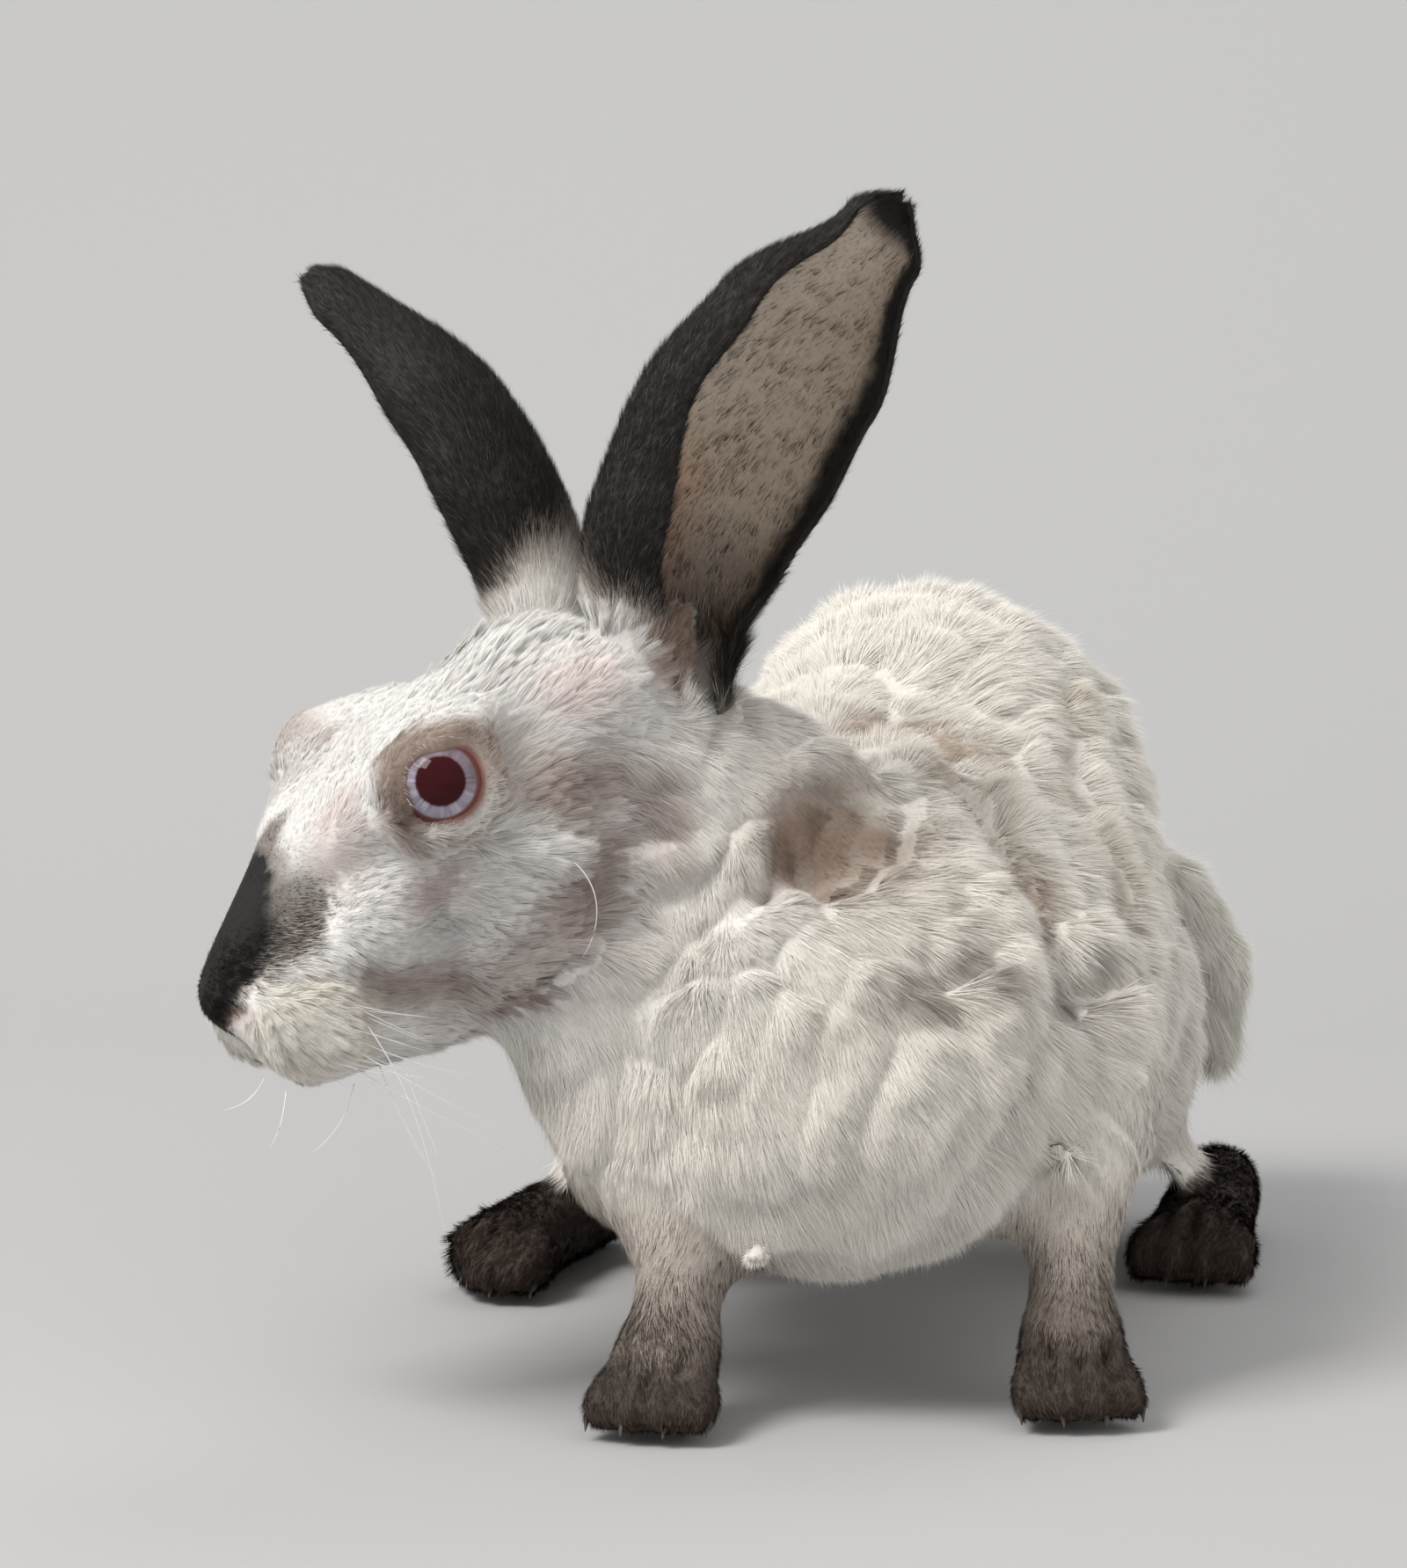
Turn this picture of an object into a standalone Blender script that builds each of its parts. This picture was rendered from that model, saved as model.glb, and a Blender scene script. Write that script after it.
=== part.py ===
"""A domestic rabbit with dark ears, nose and feet, standing still, at life size.

Metres, +Z up. The animal faces -Y with its left side towards +X. Its head is turned to its right and its
hindquarters bend a little to its left. Sizes are given in millimetres and scaled once, by MM. The flesh is
fused from rounded masses, then parted into named pieces with cuts as thin as GAP.
"""

import math

import bmesh
import bpy
import numpy as np
from mathutils import Euler, Matrix, Vector
from mathutils.bvhtree import BVHTree

MM = 0.001
GAP = 0.3
HEAD_SEAT_GAP = 0.8
HEAD_SEAT_TRIANGLES = 1100

HEAD_CENTRE = Vector((-94.0, 35.5, 128.5))
HEAD_TURN = math.radians(63)
HEAD_DROP = math.radians(25)
HEAD_VOXEL = 1.3
HEAD_TRIANGLES = 3300

EYE_RADIUS = 9.0
EYE_ASIDE = 26.0
EYE_LOOK = Vector((0.10, 0.97, 0.17)).normalized()
EYE_CORNER = (0.86, 0.0, -0.5)
EYE_STRETCH = 1.1
LID_OPENING = 7.9
LID_HEIGHT = 1.5
LID_CREST = 1.6
LID_WIDTH = 1.9
BROW_FALL = 0.045
ORBIT_REACH = 18.5
ORBIT_FADE = 8.0
ORBIT_DEPTH = (-6.0, -1.0)
ORBIT_LIFT = 0.4
ORBIT_RIM = 5.0

BODY_VOXEL = 2.4
BODY_TRIANGLES = 2400
FOOT_VOXEL = 1.2
FOREPAW_TRIANGLES = 480
HINDFOOT_TRIANGLES = 460
FLOOR = 0.0
RUMP_FROM = 122
TAIL_VOXEL = 2.0
TAIL_TRIANGLES = 300


# The scene and its materials

def clear_scene():
    for old in list(bpy.data.objects):
        bpy.data.objects.remove(old, do_unlink=True)


def material(name, colour, roughness):
    finish = bpy.data.materials.new(name)
    finish.use_nodes = True
    shader = finish.node_tree.nodes["Principled BSDF"]
    shader.inputs["Base Color"].default_value = (*colour, 1.0)
    shader.inputs["Roughness"].default_value = roughness
    finish.diffuse_color = (*colour, 1.0)
    return finish


# Frames: the head has its own axes, forward, left and up

def head_frame():
    ahead = Vector((-math.sin(HEAD_TURN), -math.cos(HEAD_TURN), 0.0))
    forward = ahead * math.cos(HEAD_DROP) - Vector((0, 0, math.sin(HEAD_DROP)))
    left = Vector((math.cos(HEAD_TURN), -math.sin(HEAD_TURN), 0.0))
    up = forward.cross(left)
    turned = Matrix((forward, left, up)).transposed().to_4x4()
    return Matrix.Translation(HEAD_CENTRE) @ turned


HEAD = head_frame()
BODY = Matrix.Identity(4)


# Masses: ellipsoids, and rows of them along a limb

def mass(bm, frame, at, size, tilt=(0, 0, 0)):
    turned = Euler([math.radians(a) for a in tilt]).to_matrix().to_4x4()
    place = frame @ Matrix.Translation(at) @ turned @ Matrix.Diagonal((*size, 1.0))
    bmesh.ops.create_icosphere(bm, subdivisions=3, radius=1.0, matrix=place)


def both_sides(bm, frame, at, size, tilt=(0, 0, 0)):
    mass(bm, frame, at, size, tilt)
    mass(bm, frame, (at[0], -at[1], at[2]), size, (-tilt[0], tilt[1], -tilt[2]))


def limb(bm, frame, *stations):
    """Ellipsoids in a close row through the stations, each a centre and three radii."""
    for (a, size_a), (b, size_b) in zip(stations, stations[1:]):
        a, b, size_a, size_b = Vector(a), Vector(b), Vector(size_a), Vector(size_b)
        steps = max(2, math.ceil((b - a).length / (0.3 * min(*size_a, *size_b))))
        for i in range(steps + 1):
            share = i / steps
            size = size_a.lerp(size_b, share)
            place = frame @ Matrix.Translation(a.lerp(b, share)) @ Matrix.Diagonal((*size, 1.0))
            bmesh.ops.create_icosphere(bm, subdivisions=2, radius=1.0, matrix=place)


# Mesh handling

def to_object(name, bm, finish=None):
    mesh = bpy.data.meshes.new(name)
    bm.to_mesh(mesh)
    bm.free()
    obj = bpy.data.objects.new(name, mesh)
    bpy.context.scene.collection.objects.link(obj)
    if finish:
        mesh.materials.append(finish)
    return obj


def settle(obj):
    """Applies the object's modifiers to its mesh."""
    graph = bpy.context.evaluated_depsgraph_get()
    graph.update()
    done = bpy.data.meshes.new_from_object(obj.evaluated_get(graph))
    obj.modifiers.clear()
    obj.data = done
    return obj


def islands(bm):
    left = set(bm.verts)
    while left:
        group, edge = set(), [left.pop()]
        while edge:
            v = edge.pop()
            group.add(v)
            for e in v.link_edges:
                other = e.other_vert(v)
                if other in left:
                    left.remove(other)
                    edge.append(other)
        yield group


def keep_largest(obj):
    """Drops every closed surface but the largest."""
    bm = bmesh.new()
    bm.from_mesh(obj.data)
    groups = sorted(islands(bm), key=len, reverse=True)
    for group in groups[1:]:
        bmesh.ops.delete(bm, geom=list(group), context="VERTS")
    bm.to_mesh(obj.data)
    bm.free()
    return obj


def fuse(name, bm, voxel, rounds):
    """One closed skin round overlapping masses, its joins softened."""
    obj = to_object(name, bm)
    skin = obj.modifiers.new("skin", "REMESH")
    skin.mode = "VOXEL"
    skin.voxel_size = voxel
    soften = obj.modifiers.new("soften", "SMOOTH")
    soften.factor = 0.5
    soften.iterations = rounds
    return keep_largest(settle(obj))


def thin_out(obj, triangles):
    """Brings the mesh down to about this many triangles."""
    bm = bmesh.new()
    bm.from_mesh(obj.data)
    bmesh.ops.triangulate(bm, faces=bm.faces)
    bm.to_mesh(obj.data)
    bm.free()
    fewer = obj.modifiers.new("fewer", "DECIMATE")
    fewer.ratio = min(1.0, triangles / len(obj.data.polygons))
    return settle(obj)


def boolean(obj, other, operation, solver="EXACT"):
    cut = obj.modifiers.new("cut", "BOOLEAN")
    cut.operation = operation
    cut.object = other
    cut.solver = solver
    return settle(obj)


def drop(*objs):
    for obj in objs:
        bpy.data.objects.remove(obj, do_unlink=True)


def copy_of(obj, name, swell=0.0):
    """A copy, pushed out along its normals by swell."""
    twin = bpy.data.objects.new(name, obj.data.copy())
    bpy.context.scene.collection.objects.link(twin)
    if swell:
        normals = [v.normal.copy() for v in twin.data.vertices]
        for v, normal in zip(twin.data.vertices, normals):
            v.co += normal * swell
    return twin


def points_of(obj, frame):
    """The mesh's points in a frame's own axes."""
    flat = np.empty(len(obj.data.vertices) * 3)
    obj.data.vertices.foreach_get("co", flat)
    back = np.array(frame.inverted())
    return flat.reshape(-1, 3) @ back[:3, :3].T + back[:3, 3]


def put_points(obj, frame, points):
    turn = np.array(frame)
    obj.data.vertices.foreach_set("co", (points @ turn[:3, :3].T + turn[:3, 3]).ravel())
    obj.data.update()


def route_distance(points, route):
    """Each point's distance from a broken line, and its share of the way along."""
    route = np.array(route, float)
    best = np.full(len(points), 1e9)
    along = np.zeros(len(points))
    for i, (a, b) in enumerate(zip(route, route[1:])):
        span = b - a
        share = np.clip((points - a) @ span / (span @ span), 0, 1)
        reach = np.linalg.norm(points - a - share[:, None] * span, axis=1)
        nearer = reach < best
        best = np.where(nearer, reach, best)
        along = np.where(nearer, (i + share) / (len(route) - 1), along)
    return best, along


def normals_in(obj, frame):
    flat = np.empty(len(obj.data.vertices) * 3)
    obj.data.vertices.foreach_get("normal", flat)
    return flat.reshape(-1, 3) @ np.array(frame.to_3x3())


def press(obj, frame, route, width, depth):
    """Presses a groove along a route, or raises a ridge where depth is negative."""
    points = points_of(obj, frame)
    reach, along = route_distance(points, route)
    ends = np.clip(np.minimum(along, 1 - along) * 5, 0, 1) ** 0.5
    amount = depth * np.exp(-((reach / width) ** 2)) * (0.35 + 0.65 * ends)
    put_points(obj, frame, points - normals_in(obj, frame) * amount[:, None])


# The head

def head_masses():
    bm = bmesh.new()
    mass(bm, HEAD, (-30, 0, -10), (33, 24, 25))
    mass(bm, HEAD, (-5, 0, -6), (33, 19, 18), (0, 18, 0))
    limb(bm, HEAD, ((4, 0, -6), (13, 13, 14)), ((24, 0, -11), (12, 12, 14)), ((44, 0, -23), (9, 9, 11.5)))
    mass(bm, HEAD, (27, 0, -31), (24, 17, 21), (0, 15, 0))
    both_sides(bm, HEAD, (38, 8, -33), (14, 11, 14), (0, 25, 0))
    limb(bm, HEAD, ((39, 0, -44), (7, 8, 7)), ((20, 0, -43), (12, 12, 12)), ((-6, 0, -40), (15, 16, 15)))
    both_sides(bm, HEAD, (-16, 15, -26), (25, 15, 26), (0, 8, 0))
    both_sides(bm, HEAD, (-10, 12, -40), (24, 15, 15))
    both_sides(bm, HEAD, (12, 15, -17), (21, 10, 10), (0, 25, 0))
    both_sides(bm, HEAD, (-5, 18, 4), (18, 9, 8), (0, 12, 0))
    both_sides(bm, HEAD, (0, 20, -2), (15, 10, 13))
    both_sides(bm, HEAD, (17, 7, -5), (16, 9, 11), (0, 28, 0))
    both_sides(bm, HEAD, (11, 13, -3), (14, 9, 10), (0, 14, 0))
    mass(bm, HEAD, (46, 0, -25), (10, 9, 10))
    mass(bm, HEAD, (34, 0, -19), (15, 9, 13), (0, 38, 0))
    mass(bm, HEAD, (8, 0, -44), (22, 15, 13))
    for side in (1, -1):
        limb(bm, HEAD, ((-44, 15 * side, -4), (18, 14, 15)), ((-54, 16 * side, 2), (12, 11, 9)))
    return bm


def open_eyes(head):
    """Flattens each orbit and raises the lids in a ring round the eyeball."""
    for side in (1, -1):
        points = points_of(head, HEAD)
        centre = np.array((0.0, side * EYE_ASIDE, 0.0))
        look = np.array((EYE_LOOK.x, side * EYE_LOOK.y, EYE_LOOK.z))
        rel = points - centre
        height = rel @ look
        flat = rel - height[:, None] * look
        corner = np.array(EYE_CORNER)
        corner = corner - (corner @ look) * look
        corner /= np.linalg.norm(corner)
        stretch = flat @ corner
        ring = np.sqrt(np.maximum((flat ** 2).sum(1) - (1 - 1 / EYE_STRETCH ** 2) * stretch ** 2, 0))
        rim = math.sqrt(EYE_RADIUS ** 2 - LID_OPENING ** 2)
        lid = rim + LID_HEIGHT * np.exp(-(((ring - LID_OPENING - LID_CREST) / LID_WIDTH) ** 2))
        lid = lid - BROW_FALL * np.maximum(ring - LID_OPENING - 1, 0) ** 2
        blend = np.clip((ORBIT_REACH - ring) / ORBIT_FADE, 0, 1)
        deep, shallow = ORBIT_DEPTH
        blend = blend * blend * (3 - 2 * blend) * np.clip((height - deep) / (shallow - deep), 0, 1)
        lift = np.minimum(lid - height, np.maximum(ORBIT_LIFT, LID_OPENING + ORBIT_RIM - ring))
        put_points(head, HEAD, points + (lift * blend)[:, None] * look)


BROW_END = (-18.5, 22, 6)
BROW_REACH = 9.6
BROW_ROUNDS = 90


def ease_brows(head):
    """Smooths the hind end of each brow, where it meets the crown."""
    for side in (1, -1):
        near = head.vertex_groups.new(name="near")
        reach = np.linalg.norm(points_of(head, HEAD) - (BROW_END[0], side * BROW_END[1], BROW_END[2]), axis=1)
        near.add([int(i) for i in np.where(reach < BROW_REACH)[0]], 1.0, "REPLACE")
        soften = head.modifiers.new("soften", "SMOOTH")
        soften.vertex_group = "near"
        soften.factor = 0.5
        soften.iterations = BROW_ROUNDS
        settle(head)
        head.vertex_groups.clear()


LIP_SPLIT = ((56, 0, -30), (54, 0, -35), (50, 0, -41))
FACE_GROOVES = (
    (((56, 2, -31), (54, 5.5, -28), (50, 8.5, -25)), 1.3, 2.4),
    (((50, 2, -41), (44, 10, -45), (33, 15, -47), (22, 17, -45)), 1.5, 2.4),
    (((24, 17, -26), (14, 22, -30), (2, 26, -30)), 3.0, 1.6),
    (((28, 15, -20), (24, 17, -30), (22, 17, -38)), 2.6, 1.4),
)


def face_lines(head):
    """The split lip, and on each side the nostril, the mouth and two folds of the cheek."""
    press(head, HEAD, LIP_SPLIT, 1.3, 2.2)
    for side in (1, -1):
        for route, width, depth in FACE_GROOVES:
            press(head, HEAD, [(ahead, side * left, up) for ahead, left, up in route], width, depth)


def eyeball(name, side, finish):
    bm = bmesh.new()
    at = HEAD @ Matrix.Translation((0, side * EYE_ASIDE, 0))
    bmesh.ops.create_uvsphere(bm, u_segments=16, v_segments=9, radius=EYE_RADIUS, matrix=at)
    return to_object(name, bm, finish)


# The ears: a leaf-shaped sheet, rolled to a tube at its root and open towards its tip. A shape holds the way
# the cup opens, its half width and depth, the leaf's outline and how far round each margin rolls, in degrees.

EAR_WALL = 2.6
EAR_LOOK = 0.02
EAR_DEPTHS = ((0, 0.8), (0.3, 1.0), (0.6, 1.0), (0.95, 0.5), (1, 0.3))
EAR_LEFT = ((-36, 48, 137), (-50, 43, 175), (-4.5, 51, 215), (10.5, 60, 240))
EAR_RIGHT = ((-62, 63, 143), (-63, 68, 172), (-83, 77, 205), (-112, 84, 224))
EAR_ROWS = 13
EAR_COLUMNS = 10
EAR_LEFT_SHAPE = {
    "opens": (0.68, -0.73, 0), "half": 25.5, "deep": 14, "tip": 0.22,
    "leaf": ((0, 0.42), (0.14, 0.55), (0.5, 1.0), (0.62, 0.95), (0.92, 0.38), (1, 0.1)),
    "margin_right": ((0, 155), (0.3, 140), (0.55, 124), (0.8, 116), (0.93, 98), (1, 66)),
    "margin_left": ((0, 170), (0.15, 150), (0.3, 115), (0.55, 98), (0.9, 88), (1, 62)),
}
EAR_RIGHT_SHAPE = {
    "opens": (-0.92, 0.30, -0.25), "half": 19, "deep": 12, "tip": 0.42,
    "leaf": ((0, 0.38), (0.14, 0.46), (0.5, 0.97), (0.62, 0.93), (0.92, 0.42), (1, 0.1)),
    "margin_right": ((0, 160), (0.3, 120), (0.6, 100), (1, 80)),
    "margin_left": ((0, 160), (0.3, 136), (0.6, 118), (0.9, 110), (1, 90)),
}


def smooth_curve(points, share):
    """A point on the smooth curve through four control points."""
    a, b, c, d = (Vector(p) for p in points)
    rest = 1 - share
    return a * rest ** 3 + b * 3 * rest ** 2 * share + c * 3 * rest * share ** 2 + d * share ** 3


def between(share, *stops):
    """The value at a share of the way, from (share, value) stops, eased between them."""
    for (a, low), (b, high) in zip(stops, stops[1:]):
        if share <= b:
            t = (share - a) / (b - a)
            return low + (high - low) * t * t * (3 - 2 * t)
    return stops[-1][1]


def ear_row(bm, route, shape, share):
    """The points across the sheet at a share of its length."""
    at = smooth_curve(route, share)
    ahead = smooth_curve(route, min(1, share + EAR_LOOK))
    along = (ahead - smooth_curve(route, max(0, share - EAR_LOOK))).normalized()
    open_way = Vector(shape["opens"])
    open_way = (open_way - along * open_way.dot(along)).normalized()
    aside = along.cross(open_way)
    half = shape["half"] * max(shape["tip"], between(share, *shape["leaf"]))
    deep = shape["deep"] * between(share, *EAR_DEPTHS)
    right = math.radians(between(share, *shape["margin_right"]))
    left = math.radians(between(share, *shape["margin_left"]))
    row = []
    for j in range(EAR_COLUMNS + 1):
        angle = -right + (left + right) * j / EAR_COLUMNS
        row.append(bm.verts.new(at + aside * half * math.sin(angle) - open_way * deep * math.cos(angle)))
    return row


def ear(name, route, shape, finish):
    bm = bmesh.new()
    rows = [ear_row(bm, route, shape, i / EAR_ROWS) for i in range(EAR_ROWS + 1)]
    for low, high in zip(rows, rows[1:]):
        for j in range(EAR_COLUMNS):
            bm.faces.new((low[j], low[j + 1], high[j + 1], high[j]))
    bmesh.ops.recalc_face_normals(bm, faces=bm.faces)
    obj = to_object(name, bm, finish)
    wall = obj.modifiers.new("wall", "SOLIDIFY")
    wall.thickness = EAR_WALL
    wall.offset = 0.0
    return settle(obj)


# The body, neck, legs and feet

def body_masses():
    bm = bmesh.new()
    mass(bm, BODY, (-4, 60, 68), (56, 50, 47))
    mass(bm, BODY, (-8, 38, 60), (44, 30, 36))
    mass(bm, BODY, (0, 108, 74), (73, 62, 54))
    mass(bm, BODY, (6, 150, 80), (70, 60, 58))
    mass(bm, BODY, (20, 192, 94), (56, 62, 64))
    mass(bm, BODY, (30, 226, 78), (46, 40, 50))
    mass(bm, BODY, (44, 66, 66), (22, 28, 34))
    mass(bm, BODY, (-46, 56, 62), (20, 28, 32))
    mass(bm, BODY, (58, 186, 54), (26, 46, 42), (0, 0, -16))
    mass(bm, BODY, (-42, 178, 52), (28, 44, 40), (0, 0, 16))
    mass(bm, BODY, (68, 202, 26), (16, 34, 20), (0, 0, -10))
    mass(bm, BODY, (-50, 190, 26), (16, 32, 20), (0, 0, 16))
    limb(
        bm, BODY,
        ((-52, 56, 124), (30, 30, 30)), ((-34, 64, 112), (38, 34, 36)), ((-14, 72, 92), (44, 38, 42)),
    )
    mass(bm, BODY, (-52, 50, 86), (26, 26, 24))
    limb(bm, BODY, ((-61, 44, 80), (16, 18, 16)), ((-50, 44, 62), (20, 20, 18)))
    return bm


def foreleg_masses(bm, elbow, wrist, paw, heading):
    limb(bm, BODY, (elbow, (15, 17, 16)), (wrist, (11, 12, 12)), (paw, (12.5, 13, 9.5)))
    toes(bm, paw, heading, 11.5, 6.0, 1.0)


TOES = 4
TOE_ROUND = 0.16
TOE_FAN = 1.12
TOE_ROOT = 0.25
TOE_HEIGHTS = (8.0, 6.2)
TOE_SIZES = ((5.2, 6.0, 7.0), (4.4, 5.6, 5.4))


def toes(bm, ball, heading, reach, spread, scale):
    """Toes fanned from the ball of the foot, the outer ones shorter."""
    ahead = Vector((-math.sin(heading), -math.cos(heading), 0))
    left = Vector((math.cos(heading), -math.sin(heading), 0))
    for k in range(TOES):
        aside = (k - (TOES - 1) / 2) * spread
        forward = reach - TOE_ROUND * aside * aside / spread
        root = Vector(ball) + ahead * reach * TOE_ROOT + left * aside
        tip = Vector(ball) + ahead * forward + left * aside * TOE_FAN
        root.z, tip.z = (scale * height for height in TOE_HEIGHTS)
        thick, thin = (Vector(size) * scale for size in TOE_SIZES)
        limb(bm, BODY, (root, thick), (tip, thin))


def hindfoot_masses(bm, heel, ball, heading):
    limb(bm, BODY, (heel, (11, 12, 11.5)), (ball, (13, 13, 10)))
    toes(bm, ball, heading, 14.0, 6.4, 1.08)


FORE_LEFT = ((46, 56, 52), (42, 38, 30), (42, 26, 9.5), math.radians(-6))
FORE_RIGHT = ((-40, 42, 50), (-35, 28, 28), (-39.5, 16, 9.5), math.radians(14))
HIND_LEFT = ((90, 226, 11.0), (80, 168, 9.5), math.radians(15))
HIND_RIGHT = ((-56, 212, 11.0), (-75, 157, 9.5), math.radians(24))


def whole_body():
    bm = body_masses()
    foreleg_masses(bm, *FORE_LEFT)
    foreleg_masses(bm, *FORE_RIGHT)
    hindfoot_masses(bm, *HIND_LEFT)
    hindfoot_masses(bm, *HIND_RIGHT)
    return flatten_soles(thin_out(fuse("body", bm, BODY_VOXEL, 6), BODY_TRIANGLES))


def fine_foot(masses, sizes, triangles):
    """One foot by itself, from the same masses as in the body, with its toes told apart."""
    bm = bmesh.new()
    masses(bm, *sizes)
    return flatten_soles(thin_out(fuse("foot", bm, FOOT_VOXEL, 3), triangles))


def flatten_soles(obj):
    """Cuts off what is below the floor, which leaves small flats under the feet."""
    bm = bmesh.new()
    bm.from_mesh(obj.data)
    geom = list(bm.verts) + list(bm.edges) + list(bm.faces)
    cut = bmesh.ops.bisect_plane(bm, geom=geom, plane_co=(0, 0, FLOOR), plane_no=(0, 0, -1), clear_outer=True)
    rim = [e for e in cut["geom_cut"] if isinstance(e, bmesh.types.BMEdge)]
    bmesh.ops.holes_fill(bm, edges=rim, sides=0)
    bmesh.ops.triangulate(bm, faces=bm.faces)
    bm.to_mesh(obj.data)
    bm.free()
    return obj


# Locks of wool: flat tapered wedges rooted under the surface that follow it and end clear of it. The locks of
# a row stand where rays from a centre meet the surface, fanned about an axis between two angles in degrees.

LOCK_DEPTH = 2.6
LOCK_LIFT = 2.4
LOCK_SECTION = ((-0.5, -0.1), (-0.2, 0.5), (0.2, 0.5), (0.5, -0.1), (0, -1.0))
LOCK_STATIONS = ((0.0, 0.6, -1.2), (0.36, 1.0, 0.3))
LOCK_LEAN = 0.24
LOCK_UNEVEN = 0.2
CHEEK_LOCK = (14, 11)
TUFTS_A_ROW = 2
CHEEK_ROWS = (
    ((29, 17, -28), (6, 23, -30), (-1, 0.2, -0.5)),
    ((42, 14, -33), (30, 15, -42), (-0.7, 0.1, -0.8)),
    ((-20, 28, -44), (4, 20, -50), (-1, 0.1, -0.6)),
)
TRUNK_LOCKS = {
    "rows": 4, "first": (2, 86, 71), "along": (0.16, 1, 0.12), "step": 33, "stagger": 9,
    "axis": "Y", "fan": (-96, 96), "count": 5, "way": (0.1, 1, -0.8), "length": 33, "width": 23,
}
CHEST_LOCKS = {
    "rows": 4, "first": (-6, 58, 98), "step": 15, "stagger": 7,
    "axis": "Z", "fan": (-58, 60), "count": 4, "way": (0.1, 0.3, -1), "length": 28, "width": 20,
}
RUMP_LOCKS = {
    "rows": 3, "first": (26, 206, 112), "step": 26,
    "axis": "Z", "fan": (168, 238), "count": 3, "way": (0.1, 0.4, -1), "length": 28, "width": 22,
}
BELLY_LOCKS = {
    "rows": 2, "first": (-4, 60, 60), "step": 46,
    "axis": "Y", "fan": (140, 220), "count": 3, "way": (0, 1, -0.5), "length": 26, "width": 22,
}
TAIL_LOCKS = {
    "rows": 2, "first": (88, 256, 74), "step": 18,
    "axis": "Z", "fan": (60, 300), "count": 3, "way": (0.15, 0.1, -1), "length": 20, "width": 13,
}


def lock(name, surface, root, way, length, width):
    """One lock, from its root on the surface along way."""
    bm = bmesh.new()
    rings = []
    for share, spread, rise in LOCK_STATIONS:
        at, out, _, _ = surface.find_nearest(root + way * length * share)
        aside = out.cross(way).normalized()
        base = at + out * rise
        rings.append([
            bm.verts.new(base + aside * width * spread * x + out * LOCK_DEPTH * y) for x, y in LOCK_SECTION
        ])
    at, out, _, _ = surface.find_nearest(root + way * length)
    tip = bm.verts.new(at + out * LOCK_LIFT)
    first, second = rings
    count = len(LOCK_SECTION)
    bm.faces.new(first)
    for k in range(count):
        after = (k + 1) % count
        bm.faces.new((first[k], second[k], second[after], first[after]))
        bm.faces.new((second[k], tip, second[after]))
    bmesh.ops.recalc_face_normals(bm, faces=bm.faces)
    return to_object(name, bm)


def ring_of_locks(surface, centre, turn, row):
    """Locks where rays fanned from a centre meet the surface, laid one way with a lean that changes."""
    locks = []
    centre, way = Vector(centre), Vector(row["way"]).normalized()
    upright = Vector((0, 0, 1)) if row["axis"] == "Y" else Vector((0, -1, 0))
    first, last = row["fan"]
    for k in range(row["count"]):
        angle = math.radians(turn + first + (last - first) * (k + 0.5) / row["count"])
        root, out, _, _ = surface.ray_cast(centre, Matrix.Rotation(angle, 3, row["axis"]) @ upright)
        wave = math.sin(2.4 * k + centre.y + centre.z)
        lie = Matrix.Rotation(LOCK_LEAN * wave, 3, out) @ (way - out * way.dot(out)).normalized()
        size = 1 + LOCK_UNEVEN * math.sin(4.1 * k + centre.y - centre.z)
        locks.append(lock("lock", surface, root, lie, row["length"] * size, row["width"] * size))
    return locks


def body_locks(surface):
    """Rings round the trunk from the withers back, rows down the chest and the rump, and along the belly."""
    locks = []
    for i in range(TRUNK_LOCKS["rows"]):
        behind = TRUNK_LOCKS["step"] * i
        centre = Vector(TRUNK_LOCKS["first"]) + Vector(TRUNK_LOCKS["along"]) * behind
        locks += ring_of_locks(surface, centre, TRUNK_LOCKS["stagger"] * (-1) ** i, TRUNK_LOCKS)
    for i in range(CHEST_LOCKS["rows"]):
        centre = Vector(CHEST_LOCKS["first"]) - Vector((0, 0, CHEST_LOCKS["step"] * i))
        locks += ring_of_locks(surface, centre, CHEST_LOCKS["stagger"] * (-1) ** i, CHEST_LOCKS)
    for i in range(RUMP_LOCKS["rows"]):
        centre = Vector(RUMP_LOCKS["first"]) - Vector((0, 0, RUMP_LOCKS["step"] * i))
        locks += ring_of_locks(surface, centre, 0, RUMP_LOCKS)
    for i in range(BELLY_LOCKS["rows"]):
        centre = Vector(BELLY_LOCKS["first"]) + Vector((0, BELLY_LOCKS["step"] * i, 0))
        locks += ring_of_locks(surface, centre, 0, BELLY_LOCKS)
    return locks


def tail_locks(surface):
    locks = []
    for i in range(TAIL_LOCKS["rows"]):
        centre = Vector(TAIL_LOCKS["first"]) - Vector((0, 0, TAIL_LOCKS["step"] * i))
        locks += ring_of_locks(surface, centre, 0, TAIL_LOCKS)
    return locks


def cheek_locks(surface):
    """Tufts on the fold behind the mouth, on the whisker pad and under the jaw, on both sides of the head."""
    locks = []
    turn = HEAD.to_3x3()
    for side in (1, -1):
        for k in range(TUFTS_A_ROW):
            share = k / (TUFTS_A_ROW - 1)
            for start, end, way in CHEEK_ROWS:
                at = Vector(start).lerp(Vector(end), share)
                root, out, _, _ = surface.find_nearest(HEAD @ Vector((at.x, side * at.y, at.z)))
                lie = turn @ Vector((way[0], side * way[1], way[2]))
                lie = (lie - out * lie.dot(out)).normalized()
                locks.append(lock("lock", surface, root, lie, *CHEEK_LOCK))
    return locks


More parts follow.
